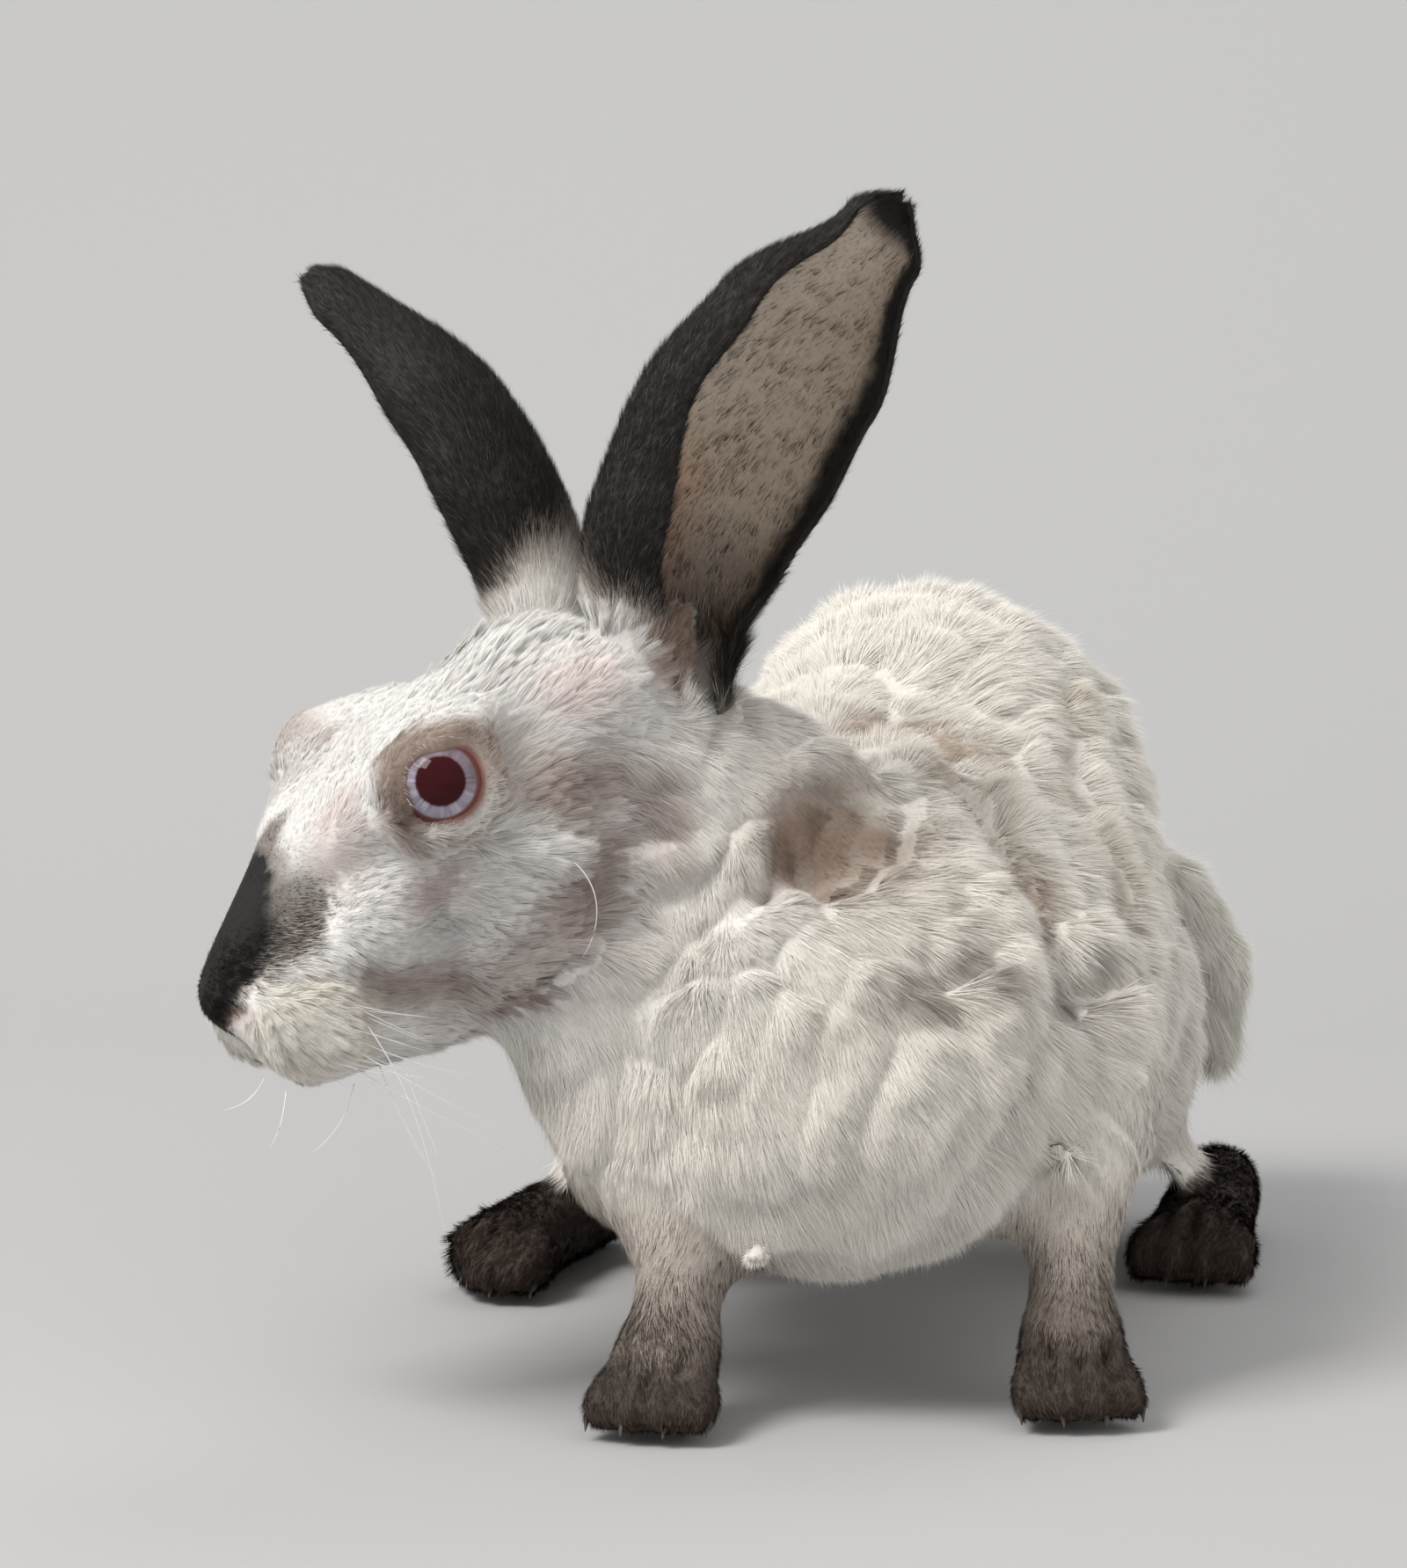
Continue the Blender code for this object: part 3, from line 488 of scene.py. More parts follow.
TOE_GROOVE = 1.3, 2.4
SOLE_HEIGHT = 0.45
FEET = (
    ((42, 26, 9.5), -6, 11.5, 6.0),
    ((-39.5, 16, 9.5), 14, 11.5, 6.0),
    ((80, 168, 9.5), 15, 14.0, 6.4),
    ((-75, 157, 9.5), 24, 14.0, 6.4),
)


def foot_ways(heading):
    """The ways ahead of a foot and to its left."""
    heading = math.radians(heading)
    ahead = np.array((-math.sin(heading), -math.cos(heading), 0))
    return ahead, np.array((math.cos(heading), -math.sin(heading), 0))


for ball, heading, reach, spread in FEET:
    ahead, aside = foot_ways(heading)
    for k in (-1, 0, 1):
        root = np.array(ball) + aside * spread * k * 1.05
        route = (root + ahead * 2 + (0, 0, 8), root + ahead * (reach - 1) + (0, 0, 4),
                 root + ahead * (reach + 4) + (0, 0, -1), root + ahead * (reach + 4) + (0, 0, -8))
        points = press(points, facing, near_route(points, route), *TOE_GROOVE)
points[:, 2] = np.maximum(points[:, 2], SOLE_HEIGHT)
set_coords(skin.data, in_scene(points))

# The ears: leaf-shaped sheets of thin gristle and skin rolled to a tube at the root, the same as the part's
# but finer, and joined whole to the skin of the head.

EAR_WALL = 0.0013
EAR_ROWS = 84
EAR_COLUMNS = 56
EARS = {
    "ear_left": {
        "route": ((-36, 48, 137), (-50, 43, 175), (-4.5, 51, 215), (10.5, 60, 240)),
        "opens": (0.68, -0.73, 0), "half": 24.9, "deep": 13.4, "tip": 0.22,
        "leaf": ((0, 0.46), (0.14, 0.66), (0.32, 0.95), (0.5, 1.05), (0.66, 0.93), (0.9, 0.45), (1, 0.3)),
        "margin_right": ((0, 155), (0.3, 140), (0.55, 124), (0.8, 116), (0.93, 98), (1, 66)),
        "margin_left": ((0, 170), (0.15, 150), (0.3, 115), (0.55, 98), (0.9, 88), (1, 62)),
    },
    "ear_right": {
        "route": ((-62, 63, 143), (-63, 68, 172), (-83, 77, 205), (-112, 84, 224)),
        "opens": (-0.92, 0.30, -0.25), "half": 18.4, "deep": 11.4, "tip": 0.42,
        "leaf": ((0, 0.42), (0.14, 0.52), (0.5, 0.97), (0.62, 0.93), (0.88, 0.6), (1, 0.5)),
        "margin_right": ((0, 160), (0.3, 120), (0.6, 100), (1, 80)),
        "margin_left": ((0, 160), (0.3, 136), (0.6, 118), (0.9, 110), (1, 90)),
    },
}


def stops(share, *pairs):
    """A smooth run of values through pairs of place and value."""
    value = np.full_like(share, pairs[0][1], dtype=float)
    for (a, low), (b, high) in zip(pairs, pairs[1:]):
        value = np.where(share > a, low + (high - low) * ease(share, a, b), value)
    return value


def bezier(route, share):
    a, b, c, d = np.array(route, float)
    s = np.atleast_1d(share)[:, None]
    return a * (1 - s) ** 3 + b * 3 * (1 - s) ** 2 * s + c * 3 * (1 - s) * s ** 2 + d * s ** 3


def ear_sheet(shape):
    """The sheet's middle surface, by rows from the root to the tip, and the line that it rolls round."""
    share = np.linspace(0, 1, EAR_ROWS + 1)
    middle = bezier(shape["route"], share)
    ahead = bezier(shape["route"], np.minimum(share + 0.02, 1))
    along = unit(ahead - bezier(shape["route"], np.maximum(share - 0.02, 0)))
    face = unit(np.array(shape["opens"]) - along * (along @ np.array(shape["opens"]))[:, None])
    aside = np.cross(along, face)
    rounded = np.sqrt(1 - 0.97 * np.clip((share - 0.9) / 0.1, 0, 1) ** 2)
    half = shape["half"] * np.maximum(stops(share, *shape["leaf"]), shape["tip"]) * rounded
    deep = shape["deep"] * stops(share, (0, 0.8), (0.3, 1.0), (0.6, 1.0), (0.95, 0.5), (1, 0.3))
    right = np.radians(stops(share, *shape["margin_right"]))[:, None]
    left = np.radians(stops(share, *shape["margin_left"]))[:, None]
    turn = -right + (left + right) * np.linspace(0, 1, EAR_COLUMNS + 1)
    rows = middle[:, None] + aside[:, None] * (half[:, None] * np.sin(turn))[..., None]
    return rows - face[:, None] * (deep[:, None] * np.cos(turn))[..., None], middle


ear_finds = []
for name, shape in EARS.items():
    sheet, roll_line = ear_sheet(shape)
    bm = bmesh.new()
    grid = [[bm.verts.new(p) for p in row] for row in in_scene(sheet)]
    for lower, upper in zip(grid, grid[1:]):
        for j in range(EAR_COLUMNS):
            bm.faces.new((lower[j], lower[j + 1], upper[j + 1], upper[j]))
    bmesh.ops.recalc_face_normals(bm, faces=bm.faces)
    mesh = bpy.data.meshes.new(name + "_fine")
    bm.to_mesh(mesh)
    bm.free()
    ear = new_object(name + "_fine", mesh)
    wall = ear.modifiers.new("wall", "SOLIDIFY")
    wall.thickness = EAR_WALL
    wall.offset = 0.0
    applied(ear)
    ear_finds.append((name, sheet, roll_line))
    join = skin.modifiers.new("join", "BOOLEAN")
    join.operation = "UNION"
    join.solver = "MANIFOLD"
    join.object = ear
    applied(skin)
    bpy.data.objects.remove(ear, do_unlink=True)
for polygon in skin.data.polygons:
    polygon.use_smooth = True

# Unwrap of the skin, for the places of the tufts in their own maps.

bpy.ops.object.select_all(action="DESELECT")
skin.select_set(True)
bpy.context.view_layer.objects.active = skin
bpy.ops.object.mode_set(mode="EDIT")
bpy.ops.mesh.select_all(action="SELECT")
bpy.ops.uv.smart_project(angle_limit=1.2, island_margin=0.001)
bpy.ops.object.mode_set(mode="OBJECT")

# What grows where: each point of the skin belongs to the part's node next to it. The ears' points know how
# far up the ear they are, how far across it, and whether they face into the cup.

regions = sorted(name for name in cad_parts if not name.startswith("eye"))
tree_points, tree_faces, tree_names = [], [], []
for name in regions:
    start = len(tree_points)
    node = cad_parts[name]
    tree_points += [node.matrix_world @ v.co for v in node.data.vertices]
    for polygon in node.data.polygons:
        tree_faces.append([start + i for i in polygon.vertices])
        tree_names.append(name)
region_tree = BVHTree.FromPolygons(tree_points, tree_faces)
mesh = skin.data
points = in_layout(coords(mesh))
facing = normals(mesh)
edges = edge_pairs(mesh)
nearest = [region_tree.find_nearest(Vector(p))[2] for p in in_scene(points)]
owner = np.array([regions.index(tree_names[k]) for k in nearest])
share_of = {}
for kind in ("head", "neck", "tail", "thigh", "foreleg", "forepaw", "hindfoot", "ear_left", "ear_right"):
    inside = np.isin(owner, [i for i, name in enumerate(regions) if name.startswith(kind)])
    share_of[kind] = relax(inside[:, None].astype(float), edges, 3 if kind.startswith("ear") else 9)[:, 0]
trunk = np.clip(1 - sum(share_of.values()), 0, 1)
on_ears = share_of["ear_left"] + share_of["ear_right"]

up_ear = np.full(len(points), -1.0)
across_ear = np.zeros(len(points))
in_cup = np.zeros(len(points))
ear_way = np.zeros((len(points), 3))
for name, sheet, roll_line in ear_finds:
    mine = np.where(share_of[name] > 0.02)[0]
    flat_sheet = sheet.reshape(-1, 3)
    tree = tree_of(flat_sheet)
    nearest = np.array([tree.find(p)[1] for p in points[mine]])
    rows, column = np.divmod(nearest, EAR_COLUMNS + 1)
    up_ear[mine] = rows / EAR_ROWS
    across_ear[mine] = 2 * column / EAR_COLUMNS - 1
    ear_way[mine] = unit(np.gradient(roll_line, axis=0))[rows]
    outward = unit(flat_sheet[nearest] - roll_line[rows])
    in_cup[mine] = (facing[mine] * outward).sum(1) < 0
in_cup = relax(in_cup[:, None], edges, 1)[:, 0]

# The lie of the coat: back and down from the nose to the tail, down the legs, up the ears, with a slow waver.
# Where ways meet and calm falls low, the coat is kept short so that no star of tufts opens there.

head = in_head(points)
NAPE = np.array((-45.0, 48.0, 122.0))
flow = unit(points - NAPE) + (0.05, 0.30, -0.80)
flow[:, 0] += 0.30 * noise(points, 40, 8)
flow += ease(-facing[:, 2], 0.15, 0.8)[:, None] * (0.15, 1.0, 0)
cheek_flow = np.array((-1.0, 0.0, -0.45)) @ HEAD_AXES
crown_flow = np.array((-1.0, 0.0, 0.25)) @ HEAD_AXES
pad_flow = np.array((-0.55, 0.0, -0.85)) @ HEAD_AXES
on_crown = ease(head[:, 2], -8, 4)[:, None]
on_pad = (ease(head[:, 0], 26, 36) * ease(-head[:, 2], 16, 26))[:, None]
head_flow = cheek_flow * (1 - on_crown) + crown_flow * on_crown
head_flow = head_flow * (1 - on_pad) + pad_flow * on_pad
neck_flow = np.array((0.55, 0.35, -0.9))
tail_flow = np.array((0.25, 0.2, -1.0))
leg_flow = np.array((0.0, -0.2, -1.0))
paw_flow = np.array((0.0, -1.0, -0.55))
hind_flow = np.array((-0.25, -1.0, -0.3))
for kind, way in (
    ("head", head_flow), ("neck", neck_flow), ("tail", tail_flow), ("foreleg", leg_flow),
    ("forepaw", paw_flow), ("hindfoot", hind_flow), ("ear_left", ear_way), ("ear_right", ear_way),
):
    flow = flow * (1 - share_of[kind][:, None]) + way * share_of[kind][:, None]
flow = unit(flow - facing * (flow * facing).sum(1)[:, None])
flow = relax(flow, edges, 6)
calm = np.linalg.norm(relax(unit(flow), edges, 16), axis=1)
turn = 0.40 * noise(points, 18, 9) + 0.16 * noise(points, 7, 10)
turn *= 1 - 0.7 * on_ears
soft = unit(unit(relax(facing, edges, 40)) * (1 - on_ears)[:, None] + facing * on_ears[:, None])
flow = unit(flow - soft * (flow * soft).sum(1)[:, None])
flow = flow * np.cos(turn)[:, None] + np.cross(soft, flow) * np.sin(turn)[:, None]

# Lengths in millimetres, short on the face, feet, ears and bare patches.

BACK_PATCH = ((3, 121, 131), (13, 125, 132), (21, 120, 128), (27, 117, 125))
SIDE_PATCH = ((21, 94, 125), (24, 73, 115), (29, 65, 107), (33, 54, 101))
BARE = (
    (((-10, 41, 114), (2, 49, 120)), 15.0),
    (BACK_PATCH, 6.5),
    (SIDE_PATCH, 5.2),
    (((50, 139, 125), (48, 121, 116), (52, 101, 112)), 3.6),
    (((-23, 4, 34), (-19, 12, 33)), 9.0),
    (((32, 8, 56), (48, 6, 57), (60, 14, 58)), 6.0),
)
FACE_TUFTS = (
    (((-3, 28, -16), (-10, 29, -21), (-16, 30, -25)), 3.0, 5.0),
    (((24, 18, -28), (12, 22, -30), (4, 25, -31)), 2.4, 3.4),
    (((33, 19, -29), (30, 18, -38)), 3.5, 2.2),
    (((-8, 26, -42), (-16, 28, -46)), 3.5, 3.0),
    (((-20, 29, -40), (-30, 29, -40)), 3.5, 3.0),
    (((-24, 8, 13), (-34, 4, 15), (-46, 18, 11)), 7.0, 4.0),
)


def on_left(head):
    """Points in head axes with the right half laid over the left."""
    return np.abs(head * (0, 1, 0)) + head * (1, 0, 1)


length = 9.5 * trunk + 8.5 * share_of["thigh"] + 11.0 * share_of["tail"] + 7.5 * share_of["neck"]
length += 4.6 * share_of["foreleg"] + 3.2 * share_of["forepaw"] + 4.6 * share_of["hindfoot"]
length += (4.4 - 1.4 * np.clip(up_ear, 0, 1) + 3.2 * ease(-up_ear, -0.26, -0.06)) * on_ears
mirrored = on_left(head)
from_eye = np.linalg.norm(mirrored - (0, 27, 0), axis=1)
pad = ease(-np.linalg.norm(mirrored - (40, 13, -36), axis=1), -15, -9)
face = 5.4 - 3.4 * ease(head[:, 0], 14, 30) * ease(head[:, 2], -22, -10) - 2.4 * ease(head[:, 2], -3, 9)
face = np.maximum(face, 2.0 + 3.2 * ease(-head[:, 0], 12, 26))
face *= 1 - 0.35 * ease(head[:, 0], 26, 34) * ease(-np.abs(head[:, 1]), -11, -7)
face *= 1 - 0.45 * ease(head[:, 0], 44, 53)
face = np.maximum(face * (0.42 + 0.58 * ease(from_eye, 8.5, 14)), 5.6 * pad)
length += face * share_of["head"]
for route, reach in BARE:
    length *= 1 - 0.72 * np.exp(-((near_coat(points, route) / reach) ** 4))
for route, reach, more in FACE_TUFTS:
    length += more * np.exp(-((near_route(mirrored, route) / reach) ** 2)) * share_of["head"]
length *= (1 + 0.18 * noise(points, 12, 12)) * (1 - 0.78 * trunk * ease(-calm, -0.95, -0.78))
in_lids = np.zeros(len(points), bool)
for side in (1, -1):
    tall, ring, angle = eye_plane(head, side)
    in_lids |= (ring < lid_edge(angle) + 0.2) & (np.abs(tall) < 10)
hidden = in_lids | (share_of["head"] > 0.5) & (near_route(head, ((57, 0, -31), (50, 0, -42))) < 1.0)

# Markings, the same for skin and coat: dark ears, nose and feet, thin places where the skin tints the coat, and
# painted shade in a groove and two hollows of the wool and on the ear cups, whose pale tan is also made lighter
# as painted light. A tint has its route, its reach in mm, its colour and its strength. The nose's smut is as
# wide, at each height below the head's middle, as its core and its fading edge say, and the ears darken above
# EAR_FADE.

WHITE = (0.90, 0.885, 0.865)
CREAM = (0.88, 0.845, 0.785)
DARK = (0.0085, 0.007, 0.0065)
TINTS = (
    (((-9, 41, 114), (2, 48, 119)), 13.0, (0.27, 0.195, 0.145), 1.0),
    (BACK_PATCH, 6.5, (0.37, 0.28, 0.215), 0.95),
    (SIDE_PATCH, 5.6, (0.38, 0.295, 0.23), 0.92),
    (((30, 65, 106), (33, 54, 101)), 4.6, (0.29, 0.215, 0.165), 0.8),
    # A groove between two rolls of wool, painted olive-brown: painted shade.
    (((52, 162, 135), (50, 139, 125), (48, 121, 116), (52, 101, 112), (57, 83, 98)), 5.0,
     (0.52, 0.46, 0.37), 0.65),
    (((-11, 38, 117), (-4, 43, 120), (1, 48, 122)), 1.9, (0.24, 0.165, 0.13), 0.75),
    (((-11, 36, 110), (-9, 36, 109)), 4.6, (0.23, 0.165, 0.13), 0.85),
    # A hollow and a pocket pressed into the wool, painted grey-brown: painted shade.
    (((8, 18, 93), (15, 22, 94), (21, 27, 95)), 4.6, (0.36, 0.31, 0.28), 0.65),
    (((43, 43, 86), (48, 46, 88)), 5.0, (0.27, 0.24, 0.22), 0.8),
    (((-36, 38, 150), (-35, 37, 158)), 6.5, (0.22, 0.13, 0.085), 0.9),
)
FACE_TINTS = (
    (((12, 30, 2), (6, 29.5, 9.4), (-1, 30, 11.5), (-8, 31, 9), (-12, 31.5, 3)), 4.2,
     (0.30, 0.22, 0.18), 0.72),
    (((-12, 31, 2), (-15, 26, -6), (-20, 27, -12)), 8.0, (0.44, 0.36, 0.31), 0.72),
    (((11, 30, 1), (11.5, 24, -8)), 3.4, (0.58, 0.42, 0.38), 0.60),
    (((-5, 30, -9), (5, 30, -9)), 3.2, (0.66, 0.54, 0.48), 0.50),
    (((18, 16, -1), (23, 14, -7)), 6.0, (0.84, 0.68, 0.64), 0.40),
    (((8, 25, -19), (12, 24, -20)), 6.0, (0.46, 0.34, 0.33), 0.8),
    (((29, 17, -31), (23, 16, -37), (14, 16, -40)), 5.0, (0.30, 0.215, 0.19), 0.92),
    (((16, 17, -43), (4, 23, -42), (-6, 26, -38)), 7.0, (0.46, 0.38, 0.35), 0.72),
    (((14, 8, -54.5), (9, 14, -51), (5, 20, -48), (-3, 24, -48)), 2.8, (0.22, 0.125, 0.10), 0.95),
    (((-19, 27, -13), (-21, 29, -20)), 6.0, (0.44, 0.36, 0.32), 0.70),
    (((-29, 27, -15), (-37, 28, -20), (-35, 30, -28), (-26, 29, -30), (-16, 29, -34)), 7.4,
     (0.30, 0.225, 0.205), 0.92),
    (((-8, 28, -32), (-14, 27, -41)), 4.6, (0.44, 0.36, 0.33), 0.60),
    (((-32, 22, 2), (-36, 22, 1)), 7.0, (0.82, 0.64, 0.60), 0.45),
)
SMUT_CORE = (
    (-3, -4), (0.8, -1), (3.5, 4.5), (6, 6.6), (13, 7.9), (20, 8.2), (24, 7.0), (28, 4.4), (31, 1.5),
    (33, -3),
)
SMUT_FADE = ((-3, 0), (0, 4), (4, 8.5), (10, 11.5), (18, 12.5), (22, 9.8), (26, 6.5), (30, 2))
EAR_FADE = ((-80, -74, -66, -58, -51, -45, -38, -27, -20), (154, 159, 170, 173, 161, 160, 155, 136, 126))


def even(colour, points):
    return np.tile(np.array(colour), (len(points), 1))


def mix(colour, other, share):
    return colour + (np.asarray(other) - colour) * share[:, None]


def marked(points, shares, ear_up, ear_across, cup, draw=None):
    """The coat's colour at points, from their region shares and places on the ears. Where two colours of hair
    stand mixed, a draw from 0 to 1 picks one for each tuft, and skin without draws takes their blend."""

    def among(share):
        return share if draw is None else (draw < share).astype(float)

    def lay(other, share):
        nonlocal colour
        colour = mix(colour, other, share)

    head = in_head(points)
    fine = noise(points, 2.2, 20)
    broad = noise(points, 13, 21)
    wander = np.stack([noise(points, 6, s) + 0.4 * noise(points, 2, s) for s in (22, 23, 24)], 1)
    colour = even(CREAM, points)
    lay(WHITE, np.clip(shares["head"] + 0.3 * shares["neck"], 0, 1))
    soiled = np.clip(0.24 * broad + 0.10 * fine, 0, 1) * (1 - 0.6 * shares["head"])
    lay((0.76, 0.70, 0.62), soiled)
    for route, reach, tint, share in TINTS:
        near = near_coat(points + wander * 2.0, route)
        lay(tint, share * np.exp(-((near / reach) ** 3)))
    mirrored = on_left(head) + wander * 1.2
    on_face = ease(shares["head"] + shares["neck"], 0.2, 0.7)
    one_side = 0.4 + 0.6 * ease(head[:, 1], -6, 6)
    for route, reach, tint, share in FACE_TINTS:
        near = near_route(mirrored, route)
        lay(tint, share * np.exp(-((near / reach) ** 3)) * on_face * one_side)
    for side, strength in ((1, 0.88), (-1, 0.35)):
        tall, ring, angle = eye_plane(head, side)
        past = ring - lid_edge(angle) + 0.5 * fine
        over = ease(angle, -0.4, 0.4) * ease(-angle, -3.3, -2.7)
        band = over * ease(past, -0.6, 0.6) * (1 - ease(past, 3.2, 6.4)) * (np.abs(tall) < 11)
        by_eye = (side * head[:, 1] > 8) * on_face
        around = ease(past, -0.6, 0.4) * (1 - ease(past + 0.8 * fine, 1.5, 7.0)) * (np.abs(tall) < 11)
        around = strength * around * by_eye * (0.45 + 0.55 * ease(np.abs(angle), 1.5, 2.5))
        lay((0.50, 0.425, 0.365), 0.75 * around)
        lay((0.22, 0.155, 0.125), among(0.3 * around))
        lay((0.32, 0.235, 0.19), strength * band * by_eye)

    below = -head[:, 2]
    smut = ease(head[:, 0], 27.5, 31) * ease(shares["head"], 0.3, 0.8)
    around = ease(head[:, 0], 20, 26) * ease(shares["head"], 0.3, 0.8)
    core = stops(below, *SMUT_CORE) - np.abs(head[:, 1]) + 0.6 * fine + 0.4 * broad
    fade = stops(below, *SMUT_FADE) - np.abs(head[:, 1]) + 1.2 * fine + 1.0 * broad
    ticked = around * ease(fade, -2.5, 3.0)
    lay((0.36, 0.305, 0.26), 0.75 * ticked)
    lay((0.075, 0.060, 0.050), among(0.55 * ticked))
    black = smut * ease(core, -0.4, 1.0)
    lay(DARK, black)
    pad = ease(-np.linalg.norm(mirrored - (41, 12, -35), axis=1), -15, -10) * (1 - black)
    lay((0.82, 0.78, 0.69), 0.7 * pad * on_face)
    nostril = near_route(mirrored, ((54.5, 3, -30.5), (52, 6, -28.5), (50.5, 7.6, -27)))
    lay((0.30, 0.17, 0.145), 0.9 * np.exp(-((nostril / 1.5) ** 2)) * on_face)
    lip = near_route(mirrored, ((54, 1, -35), (51, 3, -40)))
    lay((0.86, 0.80, 0.78), 0.7 * np.exp(-((lip / 2.4) ** 2)) * on_face)

    height = points[:, 2] + 3.0 * broad + 2.5 * fine
    leg = np.clip(shares["foreleg"] + shares["forepaw"], 0, 1)
    lay((0.66, 0.59, 0.52), 0.8 * leg * ease(-height, -54, -34))
    sooty = leg * ease(-height, -46, -18)
    lay((0.17, 0.13, 0.105), 0.7 * sooty)
    lay((0.075, 0.055, 0.045), among(0.6 * sooty))
    lay((0.045, 0.031, 0.025), leg * ease(-height, -21, -12))
    lay((0.13, 0.098, 0.078), among(0.15 * leg * ease(-height, -24, -14)))
    hind = ease(shares["hindfoot"] + 0.1 * fine, 0.35, 0.75)
    lay((0.042, 0.029, 0.023), hind)
    lay((0.12, 0.09, 0.072), among(0.15 * hind))
    lay((0.86, 0.84, 0.78), 0.8 * shares["tail"])

    ear = np.clip(shares["ear_left"] + shares["ear_right"], 0, 1)
    above = points[:, 2] - np.interp(points[:, 0], *EAR_FADE) + 1.6 * fine + 2.0 * broad
    outer = mix(even((0.34, 0.29, 0.255), points), DARK, ease(above, 0, 13))
    outer = mix(outer, (0.020, 0.017, 0.015), among(ease(above, -5, 9)))
    outer = mix(outer, (0.085, 0.078, 0.072), among(np.full(len(points), 0.10)))
    # The cup's own pale tan, made lighter to stand in for the light that shines through the thin ear: partly
    # painted light.
    inner = even((0.58, 0.49, 0.40), points)
    # Darker towards the cup's right side, and darker still low down on that side: its own dark hairs, and
    # painted shade.
    inner = mix(inner, (0.46, 0.375, 0.29), ease(ear_across + 0.15 * broad, -0.1, 0.6))
    warm = ease(-ear_up, -0.55, -0.25) * ease(-np.abs(ear_across + 0.25), -0.7, -0.2)
    inner = mix(inner, (0.58, 0.22, 0.075), 0.9 * warm)
    dark_hair_and_shade = ease(-ear_up, -0.46, -0.2) * ease(ear_across, -0.25, 0.3)
    inner = mix(inner, (0.10, 0.08, 0.068), among(0.8 * dark_hair_and_shade))
    inner = mix(inner, DARK, ease(np.abs(ear_across + 0.05) + 0.05 * fine, 0.72, 0.90))
    inner = mix(inner, DARK, ease(ear_up + 0.03 * broad, 0.88, 0.95))
    if draw is not None:
        inner = mix(inner, (0.03, 0.025, 0.02), among(0.55 * ease(ear_across + ear_up, -0.2, 0.9)))
    both = outer + (inner - outer) * ease(cup, 0.35, 0.65)[:, None]
    lay(both, ear * ease(above, -9, 3))
    return np.clip(colour, 0.004, 0.93)


def paint(mesh, colour):
    layer = mesh.color_attributes.new(name="coat", type="FLOAT_COLOR", domain="POINT")
    layer.data.foreach_set("color", np.concatenate([colour, np.ones((len(colour), 1))], 1).ravel())


skin_colour = marked(points, share_of, up_ear, across_ear, in_cup)
for side in (1, -1):
    tall, ring, angle = eye_plane(head, side)
    past = ring - lid_edge(angle)
    near_lid = (np.abs(tall) < 9) * (side * head[:, 1] > 10)
    skin_colour = mix(skin_colour, (0.40, 0.29, 0.24), 0.85 * near_lid * ease(-past, -2.2, -0.6))
    skin_colour = mix(skin_colour, (0.29, 0.135, 0.115), 0.9 * near_lid * ease(-past, -0.9, -0.2))
paint(mesh, skin_colour)

def finish(name, painted=True, **values):
    """A material with these values on its shader and, where it is painted, the points' own colour."""
    material = bpy.data.materials.new(name)
    material.use_nodes = True
    nodes = material.node_tree.nodes
    for socket, value in values.items():
        nodes["Principled BSDF"].inputs[socket.replace("_", " ")].default_value = value
    if painted:
        tone = nodes.new("ShaderNodeAttribute")
        tone.attribute_name = "coat"
        colour_in = nodes["Principled BSDF"].inputs["Base Color"]
        material.node_tree.links.new(tone.outputs["Color"], colour_in)
    return material


hide = finish("skin_and_undercoat", Roughness=0.8, Subsurface_Weight=0.0, Sheen_Weight=0.0)
nodes, links = hide.node_tree.nodes, hide.node_tree.links
shader, tone = nodes["Principled BSDF"], nodes["Attribute"]
place = nodes.new("ShaderNodeTexCoord")
mottle = nodes.new("ShaderNodeTexNoise")
mottle.inputs["Scale"].default_value = 900
mottle.inputs["Detail"].default_value = 5
shade = nodes.new("ShaderNodeMix")
shade.data_type = "RGBA"
shade.blend_type = "MULTIPLY"
shade.inputs["Factor"].default_value = 0.35
bump = nodes.new("ShaderNodeBump")
bump.inputs["Strength"].default_value = 0.5
bump.inputs["Distance"].default_value = 0.0004
links.new(place.outputs["Object"], mottle.inputs["Vector"])
links.new(tone.outputs["Color"], shade.inputs[6])
links.new(mottle.outputs["Fac"], shade.inputs[7])
links.new(shade.outputs[2], shader.inputs["Base Color"])
links.new(mottle.outputs["Fac"], bump.inputs["Height"])
links.new(bump.outputs["Normal"], shader.inputs["Normal"])
mesh.materials.clear()
mesh.materials.append(hide)
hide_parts(*regions)
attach(skin, "root")

# Eyes: wet balls in their sockets, each with a dark pupil in a pale lilac iris that is ringed with red-brown,
# and a bulge at the front where the clear cornea stands over them. Each iris is painted darker towards its top:
# painted shade from the upper lid.

GAZE = unit(np.array((0.27, 0.93, 0.25)))
CORNEA = 0.75

